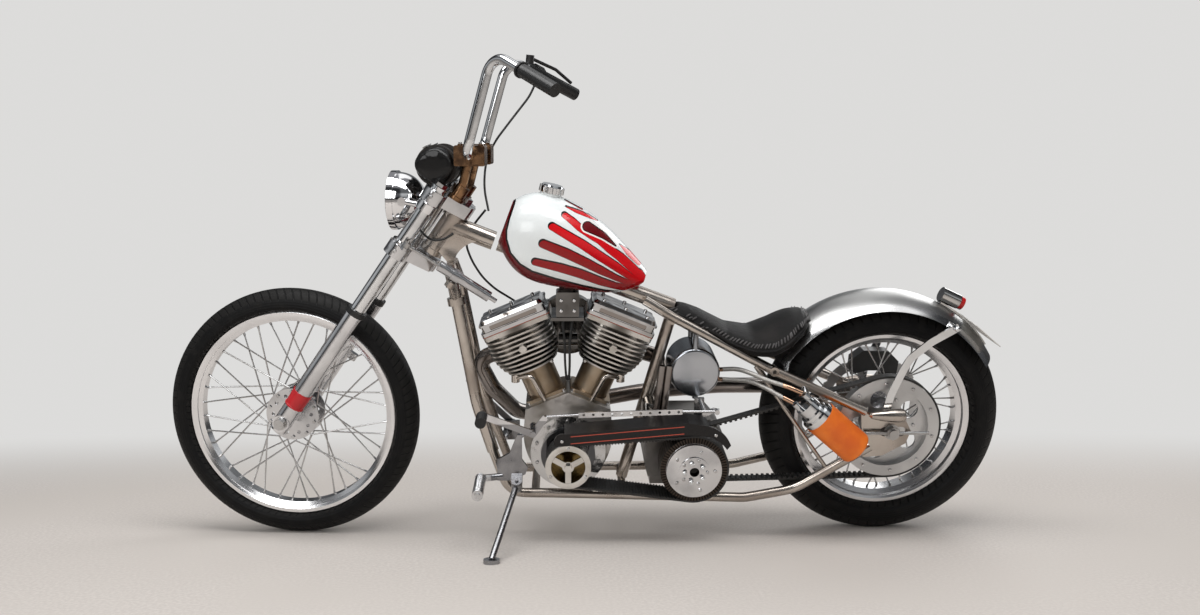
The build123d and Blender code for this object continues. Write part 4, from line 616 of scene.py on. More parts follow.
# strokes as x, y and half width on a drawing 1568 wide
SCALLOPS = [
    [(415, 752, 38), (646, 806, 45), (830, 860, 46), (1015, 930, 42), (1153, 972, 34), (1291, 1001, 32),
     (1370, 1005, 30)],
    [(488, 585, 44), (700, 672, 49), (900, 768, 46), (1015, 827, 42), (1153, 895, 32), (1291, 952, 27),
     (1374, 980, 27)],
    [(572, 425, 40), (850, 590, 46), (1015, 701, 46), (1153, 790, 44), (1291, 890, 33), (1365, 935, 30)],
    [(685, 318, 32), (765, 380, 36), (830, 441, 36), (922, 514, 27), (1015, 563, 34), (1107, 638, 41),
     (1199, 706, 44), (1291, 790, 44), (1365, 860, 42)],
    [(700, 240, 10), (800, 284, 22), (900, 326, 20), (990, 372, 8)],
    [(1195, 590, 8), (1280, 668, 30), (1372, 762, 26)],
    [(690, 181, 7), (850, 268, 9)],
    [(1372, 850, 40), (1402, 930, 60), (1384, 1000, 40)],
]
TEARDROP = [(900, 428, 50), (1050, 512, 32), (1160, 606, 9)]
BAND = [(20, 160, 220), (-26, 300, 220), (-60, 440, 220), (-59, 575, 220), (-2, 775, 220), (138, 938, 220),
        (302, 1037, 220), (540, 1111, 220), (800, 1178, 220), (1015, 1222, 218), (1200, 1243, 218),
        (1325, 1246, 218)]
print("scallops drawn:", len(SCALLOPS))

# %% [markdown]
# The drawing is thrown on to both sides alike, because it reads the distance from the machine's middle
# without its sign. A place is turned to the parked machine, and its bearing from the camera's place, which
# is a fixed point here, gives x and y on the drawing.

# %% The drawing on the tank
paint = Finish("tank_paint", Coat_Weight=0.6, Coat_Roughness=0.03, Roughness=0.26, Specular_IOR_Level=0.15)
x, y, z = paint.local()
y = abs(y)
flat = paint.point(x + PARK_AT[0], y * math.cos(LEAN) + z * math.sin(LEAN) + PARK_AT[1],
                   z * math.cos(LEAN) - y * math.sin(LEAN))
away = paint.vector("SUBTRACT", flat, EYE)
far = paint.dot(away, AHEAD)
drawn_x = (paint.dot(away, DRAWING_RIGHT) / far * FOCAL + (MIDDLE[0] - CORNER[0])) * LARGER
drawn_y = (paint.dot(away, DRAWING_UP) / far * -FOCAL + (MIDDLE[1] - CORNER[1])) * LARGER
print("nodes in the tank's paint:", len(paint.tree.nodes))

# %% [markdown]
# A stroke is all the places nearer to a line than its half width there. The nearest point of the line, and
# then the gap to it, are found with vector maths, and the least gap joins strokes into one shape.

# %% Strokes
def least(gaps):
    first, *others = gaps
    for gap in others:
        first = first.math("MINIMUM", gap)
    return first


def stroke(here, start, end):
    """Signed distance to one round-ended stroke."""
    (ax, ay, ar), (bx, by, br) = start, end
    run = Vector((bx - ax, by - ay, 0))
    off = paint.vector("SUBTRACT", here, (ax, ay, 0))
    part = (paint.dot(off, run) * (1 / run.length_squared)).math("MAXIMUM", 0.0).math("MINIMUM", 1.0)
    step = paint.node("ShaderNodeVectorMath", {"operation": "SCALE"}, {0: run, "Scale": part})
    gap = paint.vector("LENGTH", paint.vector("SUBTRACT", off, step), out="Value")
    return gap - (part * (br - ar) + ar)


def strokes(x, y, stops):
    """Signed distance to a row of strokes, less than nought inside."""
    here = paint.point(x, y)
    return least(stroke(here, start, end) for start, end in zip(stops, stops[1:]))


def union(rows, x, y):
    return least(strokes(x, y, stops) for stops in rows)


scallop = union(SCALLOPS, drawn_x, drawn_y)
lit = union(SCALLOPS, drawn_x - 10.0, drawn_y - 17.0)
drop = strokes(drawn_x, drawn_y, TEARDROP)
band = strokes(drawn_x, drawn_y, BAND)
print("nodes with the strokes:", len(paint.tree.nodes))

# %% [markdown]
# The pearl and the candy both have flakes, so each is a fine noise between two near colours. The candy is
# painted brighter on the side that faces up and darker below, as painted light and shade. The shapes are
# then laid one over another, each with a dark drop shadow in the paint along its edge.

# %% Tank colours
PALE_EDGE, DARK_EDGE, BAND_EDGE = 14.0, 9.0, 17.0    # widths on the drawing
pearl = paint.mix(paint.patches(2600.0, 0.4, 0.7, 1.0), (0.74, 0.77, 0.77), (0.81, 0.84, 0.84))
flake = paint.patches(3200.0, 0.45, 0.75, 1.0)
# painted light: the candy is lit above a sloping line on the drawing and shaded below it
lit_side = 1.0 - paint.step(drawn_y - drawn_x * 0.55, 110.0, 280.0)
shaded_candy = paint.mix(flake, (0.25, 0.001, 0.003), (0.36, 0.002, 0.006))
lit_candy = paint.mix(flake, (0.58, 0.003, 0.007), (0.76, 0.008, 0.014))
candy = paint.mix(lit_side, shaded_candy, lit_candy)
wine = paint.mix(flake, (0.10, 0.002, 0.004), (0.22, 0.006, 0.010))
shadow = (0.006, 0.004, 0.004)


def cover(colour, over, gap):
    return paint.mix(1.0 - paint.step(gap, -2.0, 2.0), colour, over)


colour = cover(pearl, shadow, scallop)
colour = cover(colour, candy, lit.math("MAXIMUM", scallop + 3.0))
colour = cover(colour, (0.85, 0.83, 0.80), drop - PALE_EDGE)
colour = cover(colour, shadow, drop)
colour = cover(colour, wine, drop + DARK_EDGE)
colour = cover(colour, shadow, band)
colour = cover(colour, wine, band + BAND_EDGE)
paint.set("Base Color", colour)
coat(paint, "fuel_tank")

# %% [markdown]
# The rear fender is raw steel, polished but never plated, so it shows faint cloudy greys and hair lines
# along its length. The lines follow the angle round the wheel's centre. The flanks are buffed smoother, and
# their colour is also painted brighter than the top's, as painted light.

# %% Rear fender
FENDER_AT = (0.012, 0.337)
fender = Finish("fender_metal", Metallic=1.0)
x, y, z = fender.local()
dx, dz = x - FENDER_AT[0], z - FENDER_AT[1]
sweep = dz.math("ARCTAN2", dx)
hair = fender.noise(1.0, 3.0, fender.point(sweep * 8.0, y * 700.0))
cloud = fender.patches(5.0, 0.35, 0.7)
buffed_lit_flank = fender.step(abs(y), 0.070, 0.080)
brushed = fender.mix(cloud, (0.50, 0.50, 0.49), (0.36, 0.36, 0.355))
# painted light: the buffed flanks are also coloured brighter than the brushed top
buffed = fender.mix(cloud, (0.80, 0.80, 0.80), (0.66, 0.66, 0.66))
fender.set("Base Color", fender.mix(buffed_lit_flank, brushed, buffed))
fender.set("Roughness", (1.0 - buffed_lit_flank) * 0.14 + hair * 0.10 + cloud * 0.06 + 0.10)
fender.bump(hair, 0.00004)
coat(fender, "rear_fender")

# %% [markdown]
# The oil tank is the same kind of steel, a round drum whose end was turned on a lathe: fine rings in its
# gloss, and a bump by radius that makes the end a little hollow.

# %% Oil tank
DRUM_AT = (0.515, 0.470)
tank = Finish("oil_tank_steel", Metallic=1.0)
x, y, z = tank.local()
dx, dz = x - DRUM_AT[0], z - DRUM_AT[1]
radius = hypot(dx, dz)
turned_end = (radius * 2200.0).math("SINE")
cloud = tank.patches(7.0, 0.35, 0.7)
tank.set("Base Color", tank.mix(cloud, (0.50, 0.52, 0.55), (0.34, 0.36, 0.39)))
tank.set("Roughness", turned_end * 0.03 + cloud * 0.08 + 0.14)
tank.bump(radius * radius * -1.2)
coat(tank, "oil_tank")

# %% [markdown]
# Painted and blackened pieces are the oil filter's hard orange enamel, the caliper, and the black rubber of
# grips and cable sheaths. One recipe makes them all, with the fine peel that sprayed paint and moulded
# rubber both have. The risers are aged brass, from the recipe for bare metals.

# %% Paint, brass and rubber
def painted(name, light, dark, rough, scale=350.0):
    finish = Finish(name)
    cloud = finish.patches(16.0, 0.35, 0.7)
    peel = finish.noise(scale, 2.0)
    finish.set("Base Color", finish.mix(cloud, light, dark))
    finish.set("Roughness", cloud * 0.08 + peel * 0.08 + rough)
    finish.bump(peel, 0.0002)
    return finish


coat(painted("filter_enamel", (0.90, 0.21, 0.012), (0.74, 0.13, 0.008), 0.34), "oil_filter")
coat(painted("caliper_black", (0.05, 0.05, 0.05), (0.03, 0.03, 0.03), 0.35), "rear_caliper")
coat(painted("grip_rubber", (0.012, 0.012, 0.012), (0.007, 0.007, 0.007), 0.34), "grips")
sheath = painted("cable_sheath", (0.018, 0.018, 0.018), (0.010, 0.010, 0.010), 0.34, scale=900.0)
coat(sheath, "throttle_cable_upper", "throttle_cable_lower", "wiring_loop")
brass = bare_metal("aged_brass", (0.30, 0.17, 0.09), (0.07, 0.04, 0.025), 0.20, 30.0, 0.14, 0.003)
coat(brass, "risers")

# %% [markdown]
# The oil hoses are braided steel between smooth fittings, and the rigid lines ahead of them are plain metal.
# All are one solid, so a mask along the machine tells them apart.

# %% Oil lines
hose = Finish("braided_hose", Metallic=1.0)
x, y, z = hose.local()
braid = hose.noise(1500.0, 1.0)
fitting = hose.step(x, 0.300, 0.301) * (1.0 - hose.step(x, 0.440, 0.441))
lines = hose.step(x, 0.60, 0.61)
soft = hose.mix(hose.step(braid, 0.4, 0.6), (0.62, 0.60, 0.57), (0.34, 0.33, 0.31))
ends = hose.mix(lines, (0.60, 0.38, 0.26), (0.62, 0.57, 0.52))
hose.set("Base Color", hose.mix(fitting, ends, soft))
hose.set("Roughness", fitting * (braid * 0.3 + 0.2) + 0.14)
hose.bump(braid * fitting, 0.0006)
coat(hose, "oil_lines")

# %% [markdown]
# The headlight is a chromed shell with clear ribbed glass in front. The glass is the same solid, so a mask
# by place changes the finish there, and it stays with the lamp when the fork turns.

# %% Headlight
lamp = Finish("headlight")
x, y, z = lamp.local(STEERED)
glass = lamp.step(x, 1.3105, 1.3115)
ribs = (y * 700.0).math("SINE") * 0.5 + 0.5
grime = lamp.patches(14.0, 0.4, 0.7)
shell = lamp.mix(grime, (0.84, 0.84, 0.85), (0.72, 0.72, 0.73))
lamp.set("Base Color", lamp.mix(glass, shell, (0.66, 0.68, 0.70)))
lamp.set("Metallic", 1.0 - glass * 0.35)
lamp.set("Roughness", glass * 0.06 + grime * 0.06 + 0.06)
lamp.bump(ribs * glass, 0.0015)
coat(lamp, "headlight")

# %% [markdown]
# The tail lamp is a dull metal shell with red glass behind, and the blank number plate hangs under it. Both
# masks are bands along a sloping direction, because lamp and plate lean back.

# %% Tail lamp and plate
tail = Finish("tail_lamp")
x, y, z = tail.local()
along = (x + 0.150) * -0.909 + (z - 0.671) * -0.417
red = tail.step(along, 0.0528, 0.0534) * tail.step(z, 0.632, 0.634)
plate = 1.0 - tail.step((x + 0.255) * -0.64 + (z - 0.5756) * 0.77, 0.0022, 0.0026)
plate = plate * (1.0 - tail.step(x, -0.210, -0.209))
grime = tail.patches(18.0, 0.4, 0.7)
shell = tail.mix(grime, (0.62, 0.61, 0.60), (0.44, 0.43, 0.42))
tail.set("Base Color", tail.mix(plate, tail.mix(red, shell, (0.45, 0.01, 0.01)), (0.70, 0.69, 0.66)))
tail.set("Metallic", (1.0 - red) * (1.0 - plate))
tail.set("Roughness", red * 0.05 + grime * 0.1 + 0.12)
coat(tail, "tail_light")

print("still to be covered:", sorted(set(nodes) - coated))

# %% [markdown]
# Leather is stuffed and sewn, so it bulges between its seams. Each soft piece starts as a copy of its
# solid, remeshed evenly and drawn in a little, so that it has room to swell.

# %% Start of a soft piece
def select_only(obj):
    bpy.ops.object.select_all(action="DESELECT")
    obj.select_set(True)
    bpy.context.view_layer.objects.active = obj


def apply_all(obj):
    select_only(obj)
    for modifier in list(obj.modifiers):
        bpy.ops.object.modifier_apply(modifier=modifier.name)


def drawn_in(node, name, voxel, shrink):
    """Smooth copy of a soft solid, a little smaller than it."""
    pad = bpy.data.objects.new(name, nodes[node].data.copy())
    bpy.context.scene.collection.objects.link(pad)
    pad.data.materials.clear()
    select_only(pad)
    bpy.ops.object.mode_set(mode="EDIT")
    bpy.ops.mesh.select_all(action="SELECT")
    bpy.ops.mesh.remove_doubles(threshold=0.00005)
    bpy.ops.object.mode_set(mode="OBJECT")
    pad.data.remesh_voxel_size = voxel
    bpy.ops.object.voxel_remesh()
    smooth = pad.modifiers.new("smooth", "SMOOTH")
    smooth.iterations = 10
    inwards = pad.modifiers.new("draw_in", "DISPLACE")
    inwards.strength = -shrink
    inwards.mid_level = 0.0
    apply_all(pad)
    return pad


print("soft pieces start from their solids")

# %% [markdown]
# A short cloth simulation with pressure inside rounds the copy like a cushion. Its points could be moved by
# hand, but cloth finds by itself where a cover is tight and where it is slack. No point may move further
# than a cap, so the piece stays in the space of its solid.

# %% Stuffing
def puff_up(pad, cap):
    before = [vertex.co.copy() for vertex in pad.data.vertices]
    cloth = pad.modifiers.new("cloth", "CLOTH")
    cloth.settings.use_pressure = True
    cloth.settings.uniform_pressure_force = 4.0
    cloth.settings.effector_weights.gravity = 0.0
    for step in range(1, 21):
        bpy.context.scene.frame_set(step)
    apply_all(pad)
    for vertex, start in zip(pad.data.vertices, before):
        move = vertex.co - start
        if move.length > cap:
            vertex.co = start + move.normalized() * cap
    bpy.context.scene.frame_set(1)


def stuffed(node, name, voxel, cap, shrink):
    """Puffed up copy of a soft solid."""
    pad = drawn_in(node, name, voxel, shrink)
    puff_up(pad, cap)
    smooth = pad.modifiers.new("smooth", "SMOOTH")
    smooth.iterations = 2
    finer = pad.modifiers.new("finer", "SUBSURF")
    finer.levels = finer.render_levels = 1
    apply_all(pad)
    bpy.ops.object.shade_smooth()
    low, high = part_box(node)
    print(name, "faces:", len(pad.data.polygons), "box of its solid:", tuple(round(v, 3) for v in high - low))
    return pad


def leather(name, light, dark, rough, gloss=0.0):
    finish = Finish(name, IOR=1.45, Specular_IOR_Level=0.14, Coat_Weight=gloss, Coat_Roughness=0.10)
    grain = finish.cells(900.0)
    crease = finish.noise(60.0, 6.0)
    worn = finish.patches(11.0, 0.42, 0.75)
    finish.set("Base Color", finish.mix(worn, light, dark))
    finish.set("Roughness", worn * 0.10 + grain * 0.12 + rough)
    finish.bump(grain * 0.35 + crease, 0.0016)
    return finish


print("stuffing is simulated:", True)

# %% [markdown]
# The seat is a saddle for one in plain black leather, tight and nearly new, so it is filled firmly and its
# grain shows more than its folds.

# %% Seat
seat = stuffed("seat", "seat_cushion", 0.005, 0.006, 0.004)
seat_hide = leather("seat_leather", (0.009, 0.0085, 0.0085), (0.020, 0.018, 0.017), 0.34)
seat.data.materials.append(seat_hide.material)
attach(seat, "chassis")
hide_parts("seat")

# %% [markdown]
# The pouch behind the lamp is softer: its ends are pulled narrow, its front bulges and its middle sags. Those
# changes come after the stuffing, as small moves of its points, together with two slow folds across it.

# %% Tool pouch
pouch = stuffed("pouch", "tool_pouch", 0.004, 0.005, 0.003)
POUCH_MIDDLE = Vector((1.1833, 0, 1.012))
into_machine = STEERED.inverted()
for vertex in pouch.data.vertices:
    spot = into_machine @ vertex.co - POUCH_MIDDLE
    end = abs(spot.y) / 0.07
    front = max(0.0, spot.x / 0.05)
    fold = math.sin(spot.y * 120 + spot.z * 60) * 0.0022 + math.sin(spot.x * 90 - spot.y * 75) * 0.0020
    wide = 1.06 - 0.12 * end ** 3 + fold / 0.05
    spot = Vector((spot.x * (wide + 0.12 * front), spot.y * 1.03, spot.z * (wide - 0.04) - 0.004 * (1 - end)))
    vertex.co = STEERED @ (spot + POUCH_MIDDLE)
pouch_hide = leather("pouch_leather", (0.004, 0.0038, 0.0038), (0.009, 0.0085, 0.008), 0.30, gloss=0.5)
pouch.data.materials.append(pouch_hide.material)
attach(pouch, "steering")
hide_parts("pouch")

# %% [markdown]
# Nuts, screws and spoke nipples are too small to be worth drawing as solids, but the eye counts on them.
# Each kind is a short prism whose top face is inset, raised or sunk a few times. Faces are picked by their
# place and normal, because there is no mouse here.

# %% Small turned shapes
import bmesh


def pick(obj, wanted):
    """Select the faces whose middle and normal pass a test."""
    bpy.context.tool_settings.mesh_select_mode = (False, False, True)
    bpy.ops.mesh.select_all(action="DESELECT")
    shape = bmesh.from_edit_mesh(obj.data)
    for face in shape.faces:
        if wanted(face.calc_center_median(), face.normal):
            face.select_set(True)
    bmesh.update_edit_mesh(obj.data)


def turned_piece(name, sides, radius, tall, steps):
    """Prism on the origin whose top goes through (inset, rise) steps."""
    bpy.ops.object.select_all(action="DESELECT")
    bpy.ops.mesh.primitive_cylinder_add(vertices=sides, radius=radius, depth=tall, location=(0, 0, tall / 2))
    made = bpy.context.object
    made.name = name
    bpy.ops.object.transform_apply(location=True)
    bpy.ops.object.mode_set(mode="EDIT")
    pick(made, lambda middle, normal: normal.z > 0.9)
    for inset, rise in steps:
        if inset:
            bpy.ops.mesh.inset(thickness=inset)
            bpy.ops.transform.translate(value=(0, 0, rise))
        else:
            bpy.ops.mesh.extrude_region_move(TRANSFORM_OT_translate={"value": (0, 0, rise)})
    bpy.ops.object.mode_set(mode="OBJECT")
    return made


hex_nut = turned_piece("hex_nut", 6, 0.0066, 0.0045,
                       [(0.0009, 0.0007), (0.0022, 0.0), (0, 0.0022), (0.0005, 0.0004)])
small_hex = turned_piece("small_hex", 6, 0.0046, 0.0032, [(0.0007, 0.0006), (0.0010, 0.0002)])
cap_screw = turned_piece("cap_screw", 16, 0.0048, 0.0046, [(0.0005, 0.0004), (0.0018, 0.0), (0, -0.0026)])
dome_nut = turned_piece("dome_nut", 12, 0.0075, 0.0040,
                        [(0.0008, 0.0024), (0.0012, 0.0018), (0.0018, 0.0012)])
square_head = turned_piece("square_head", 4, 0.0052, 0.0030, [(0.0008, 0.0006)])
nipple = turned_piece("nipple", 8, 0.0032, 0.0062, [(0.0006, 0.0006), (0, 0.0030)])
masters = [hex_nut, small_hex, cap_screw, dome_nut, square_head, nipple]
print("masters:", *(master.name for master in masters))

# %% [markdown]
# Copies of a master are set where they belong and joined into one piece, which keeps the list of pieces
# short. Each copy has a mesh of its own, turned and moved in place.

# %% Setting copies out
def set_out(name, master, spots, finish, body, frame=PARK):
    """Copies of a small shape, each at a point and along a direction, joined into one piece."""
    copies = []
    for point, direction in spots:
        turn = Vector(direction).to_track_quat("Z", "Y").to_matrix().to_4x4()
        copy = bpy.data.objects.new(name, master.data.copy())
        copy.data.transform(frame @ Matrix.Translation(point) @ turn)
        bpy.context.scene.collection.objects.link(copy)
        copies.append(copy)
    bpy.ops.object.select_all(action="DESELECT")
    for copy in copies:
        copy.select_set(True)
    bpy.context.view_layer.objects.active = copies[0]
    if len(copies) > 1:
        bpy.ops.object.join()
    made = bpy.context.object
    made.name = name
    made.data.materials.clear()
    made.data.materials.append(finish.material)
    bpy.ops.object.shade_smooth_by_angle(angle=math.radians(32))
    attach(made, body)
    print(name, "copies:", len(spots), "faces:", len(made.data.polygons))


print("copies are joined by set_out")

# %% [markdown]
# Most screws stand on a surface whose depth isn't known beforehand. A straight line is sent at the part from
# outside, and the screw stands where it lands.

# %% Finding spots
FROM_LEFT, FROM_RIGHT = (0, -1, 0), (0, 1, 0)


def landed(node, point, towards):
    """Where a line that comes from outside meets a part, on the upright machine."""
    towards = Vector(towards).normalized()
    start = PARK @ (Vector(point) - towards * 0.4)
    hit, place, normal, face = nodes[node].ray_cast(start, PARK.to_3x3() @ towards)
    return PARK.inverted() @ place if hit else None


def spots_on(node, points, towards):
    """Spots for small shapes that stand on a part and face the line they came along."""
    found = [landed(node, point, towards) for point in points]
    return [(place, -Vector(towards)) for place in found if place is not None]


def ring(x, z, radius, count, start=0.0):
    """Points round an axle, in metres on the upright machine."""
    turns = [start + math.tau * i / count for i in range(count)]
    return [(x + radius * math.cos(a), 0.0, z + radius * math.sin(a)) for a in turns]


print("clutch cover met at", landed("clutch", (CLUTCH_AT[0], 0, CLUTCH_AT[1] + 0.05), FROM_LEFT))

# %% [markdown]
# Nuts stand at the foot and under the head of each cylinder, and screws on top of the rocker boxes. They are
# placed by height up the cylinder, across it and to the left.

# %% Engine fasteners
def bank_point(way, along, y, up):
    """A point by one cylinder: across it, to the left and up from the crankshaft."""
    lean = way * V_HALF
    return CRANK + Vector((math.sin(lean) * up + math.cos(lean) * along, y,
                           math.cos(lean) * up - math.sin(lean) * along))


def bank_up(way):
    return Vector((way * math.sin(V_HALF), 0, math.cos(V_HALF)))


corners = [(a, b) for a in (-1, 1) for b in (-1, 1)]
foot_nuts, head_nuts, box_screws = [], [], []
for way in (1, -1):
    up = bank_up(way)
    foot_nuts += [(bank_point(way, a * 0.048, b * 0.047, 0.150), up) for a, b in corners]
    head_nuts += [(bank_point(way, a * 0.050, b * 0.042, 0.2412), -up) for a, b in corners]
    tops = [bank_point(way, a * 0.062 - way * 0.004, b * 0.036, 0.42) for a in (-1, 0, 1) for b in (-1, 1)]
    box_screws += spots_on("rocker_boxes", tops, -up)
set_out("cylinder_nuts", hex_nut, foot_nuts + head_nuts, stainless, "chassis")
set_out("rocker_screws", cap_screw, box_screws, chrome, "chassis")

# %% [markdown]
# The covers of the crankcase and the cams are held by rings of screws, and the air cleaner and the top
# bracket by a few small ones.

# %% Cover fasteners
left_ring = spots_on("crankcase", ring(*CRANK_AT, 0.087, 10, 0.3), FROM_LEFT)
cam_rim = [(0.928, 0, 0.337), (0.932, 0, 0.297), (0.902, 0, 0.207), (0.812, 0, 0.193), (0.764, 0, 0.290),
           (0.764, 0, 0.337), (0.852, 0, 0.340)]
right_ring = spots_on("cam_cover", cam_rim + ring(0.852, 0.279, 0.047, 5, 0.3), FROM_RIGHT)
set_out("case_screws", cap_screw, left_ring + right_ring, stainless, "chassis")

air_ring = spots_on("carburettor", ring(0.852, 0.548, 0.060, 3, 0.5), FROM_RIGHT)
block_bolts = spots_on("engine_top_mount", [(0.836, 0, 0.668), (0.870, 0, 0.668), (0.836, 0, 0.640),
                                            (0.870, 0, 0.640)], FROM_LEFT)
set_out("bracket_screws", small_hex, air_ring + block_bolts, chrome, "chassis")

# %% [markdown]
# The clutch has five big nuts round a hub hole, painted dark as shade, and two rings of small screws. The
# front pulley and the guard get a few of the same screws.

# %% Drive fasteners
clutch_nuts = spots_on("clutch", ring(*CLUTCH_AT, 0.026, 5), FROM_LEFT)
set_out("clutch_nuts", hex_nut, clutch_nuts, chrome, "chassis")
clutch_rings = ring(*CLUTCH_AT, 0.055, 5, 0.63) + ring(*CLUTCH_AT, 0.0335, 5, 0.63)
clutch_screws = spots_on("clutch", clutch_rings, FROM_LEFT)
pulley_screws = spots_on("primary_pulley", ring(*CRANK_AT, 0.0515, 3, 0.53 + math.pi), FROM_LEFT)
guard_screws = spots_on("belt_guard", [(0.474, 0, 0.347), (0.868, 0, 0.332)], FROM_LEFT)
set_out("drive_screws", small_hex, clutch_screws + pulley_screws + guard_screws, stainless, "chassis")

# %% [markdown]
# The rear pulley has two rings of screws, the brake disc has five, and square bolt heads go round both
# flanges of the front hub. These pieces ride on the wheels and turn with them.

# %% Wheel fasteners
rear_screws = spots_on("rear_pulley", ring(0, REAR_AXLE.z, 0.074, 5, math.pi / 5), FROM_LEFT)
rear_screws += spots_on("rear_pulley", ring(0, REAR_AXLE.z, 0.122, 10, 0.2), FROM_LEFT)
rear_screws += spots_on("rear_brake_disc", ring(0, REAR_AXLE.z, 0.052, 5), FROM_RIGHT)
set_out("rear_wheel_screws", small_hex, rear_screws, stainless, "rear_wheel")
front_screws = [(Vector(p) + Vector((0, way * 0.030, 0)), (0, way, 0)) for way in (1, -1)
                for p in ring(FRONT_AXLE.x, FRONT_AXLE.z, 0.0625, 10, 0.31)]
set_out("front_hub_bolts", square_head, front_screws, stainless, "front_wheel", STEERED)

# %% [markdown]
# Every spoke ends in a nipple that pulls it tight against the rim. The lacing rule is the one the spokes were
# drawn by, so each nipple lies along its own spoke.

# %% Spoke nipples
SPOKES = 40
SPOKE_LEAD = 46    # degrees that a spoke's hub end is ahead of its rim end, or behind


def nipple_spots(axle, flange_r, half, bed_r, rim_y):
    spots = []
    for i in range(SPOKES):
        way = 1 if i % 2 == 0 else -1
        lead = 1 if (i // 2) % 2 == 0 else -1
        face = half - 0.0025 + lead * 0.0022
        at_rim = math.tau / SPOKES * (i + 0.5)
        at_hub = at_rim + math.radians(lead * SPOKE_LEAD)
        start = Vector((flange_r * math.cos(at_hub), way * face, flange_r * math.sin(at_hub)))
        end = Vector((bed_r * math.cos(at_rim), way * rim_y, bed_r * math.sin(at_rim)))
        spots.append((axle + end, start - end))
    return spots


set_out("front_nipples", nipple, nipple_spots(FRONT_AXLE, 0.0733, 0.030, 0.2527, 0.005), stainless,
        "front_wheel", STEERED)
set_out("rear_nipples", nipple, nipple_spots(REAR_AXLE, 0.0643, 0.038, 0.2116, 0.008), stainless,
        "rear_wheel")

# %% [markdown]
# The fork, the bars and the fender carry a few more: socket screws in the bar clamps and the fork yokes, and
# dome nuts where the wavy struts hold the fender.

# %% Fork and fender fasteners
clamp_screws = [(Vector((1.094 + a * 0.026, b * 0.050, 1.0665)), (0, 0, 1)) for a, b in corners]
yoke_screws = []
for level in (0.556, 0.722):
    yoke = FORK_FOOT + FORK_UP * level + FORK_AHEAD * AXLE_LEAD
    yoke_screws += [(yoke + Vector((0, way * 0.1258, 0)), (0, way, 0)) for way in (1, -1)]
set_out("clamp_screws", cap_screw, clamp_screws + yoke_screws, stainless, "steering", STEERED)
strut_nuts = [(Vector((-0.152, way * 0.1294, 0.608)), (0, way, 0)) for way in (1, -1)]
strut_nuts += [(Vector((0.017, way * 0.1254, 0.372)), (0, way, 0)) for way in (1, -1)]
set_out("strut_nuts", dome_nut, strut_nuts, chrome, "chassis")

# %% [markdown]
# A plain red sleeve is slipped over the left slider. It could be a plain tube, but a lip at its foot and a
# wider collar at its top catch the light, so its top face is drawn up, widened and drawn up again.

# %% Red sleeve
sleeve = turned_piece("slider_sleeve", 48, 0.0262, 0.004, [(0.0006, 0.0006), (0.0008, 0.0), (0, 0.0360),
                                                           (0.0001, 0.0)])
bpy.ops.object.mode_set(mode="EDIT")
pick(sleeve, lambda middle, normal: normal.z > 0.9 and middle.z > 0.03)
bpy.ops.transform.resize(value=(1.06, 1.06, 1.0))
bpy.ops.mesh.extrude_region_move(TRANSFORM_OT_translate={"value": (0, 0, 0.005)})
bpy.ops.object.mode_set(mode="OBJECT")
sleeve_red = painted("sleeve_red", (0.55, 0.015, 0.02), (0.42, 0.010, 0.015), 0.28)
foot = FORK_FOOT + FORK_UP * 0.052 + FORK_AHEAD * AXLE_LEAD + Vector((0, 0.095, 0))
set_out("red_sleeve", sleeve, [(foot, FORK_UP)], sleeve_red, "steering", STEERED)
masters.append(sleeve)

# %% [markdown]
# The pouch is held by two straps. Each is a thin band round it with a small buckle, made in the same way as
# the nuts: a short prism whose top face is inset, raised or sunk.

# %% Pouch straps and buckles
strap = turned_piece("strap", 48, 0.0528, 0.0016, [(0.0002, 0.0008), (0, 0.0130), (0.0012, 0.0006)])
strap_spots = [(POUCH_MIDDLE + Vector((0, y, 0)), (0, 1, 0)) for y in (-0.049, 0.033)]
strap_hide = leather("strap_leather", (0.030, 0.027, 0.025), (0.05, 0.045, 0.04), 0.34)
set_out("pouch_straps", strap, strap_spots, strap_hide, "steering", STEERED)
buckle = turned_piece("buckle", 4, 0.0125, 0.0024, [(0.0004, 0.0006), (0.0026, 0.0), (0, -0.0018)])
out = Vector((0.45, 0, 0.9)).normalized()
buckle_spots = [(POUCH_MIDDLE + Vector((0, y, 0)) + out * 0.0526, out) for y in (-0.0415, 0.0405)]
set_out("pouch_buckles", buckle, buckle_spots, stainless, "steering", STEERED)
masters += [strap, buckle]

# %% [markdown]
# The seat's cover is drawn tight into a crease all round its rim, with a rolled edge below it and
# whip-stitches above. All three follow one line, which is smoothed from a few points on the left half and
# their mirror images.

# %% The seat's rim
RIM = [(0.592, 0.042, 0.645), (0.562, 0.056, 0.632), (0.505, 0.072, 0.603), (0.430, 0.098, 0.567),
       (0.365, 0.121, 0.550), (0.310, 0.130, 0.556), (0.265, 0.121, 0.584), (0.232, 0.092, 0.608),
       (0.206, 0.050, 0.606)]


def along(points, pitch):
    """Evenly spaced points along straight runs, with the direction of each."""
    found, left = [], 0.0
    for a, b in zip(points, points[1:]):
        run = b - a
        while left < run.length:
            found.append((a + run * (left / run.length), run.normalized()))
            left += pitch
        left -= run.length
    return found


rim = [Vector(p) for p in RIM] + [Vector((p[0], -p[1], p[2])) for p in reversed(RIM)]
rim = [place for place, run in along(rim, 0.006)]
for sweep in range(6):
    rim = [rim[0]] + [(a + b * 2 + c) / 4 for a, b, c in zip(rim, rim[1:], rim[2:])] + [rim[-1]]
print("points along the rim:", len(rim))

# %% [markdown]
# The rim only passes near the cushion, so each place on it is moved to the cushion's nearest point, and from
# there a little up or down the cover. The search tree is built once, because a search through all faces for
# each place would be slow.

# %% Beside the rim
cushion = BVHTree.FromPolygons([v.co for v in seat.data.vertices], [p.vertices for p in seat.data.polygons])


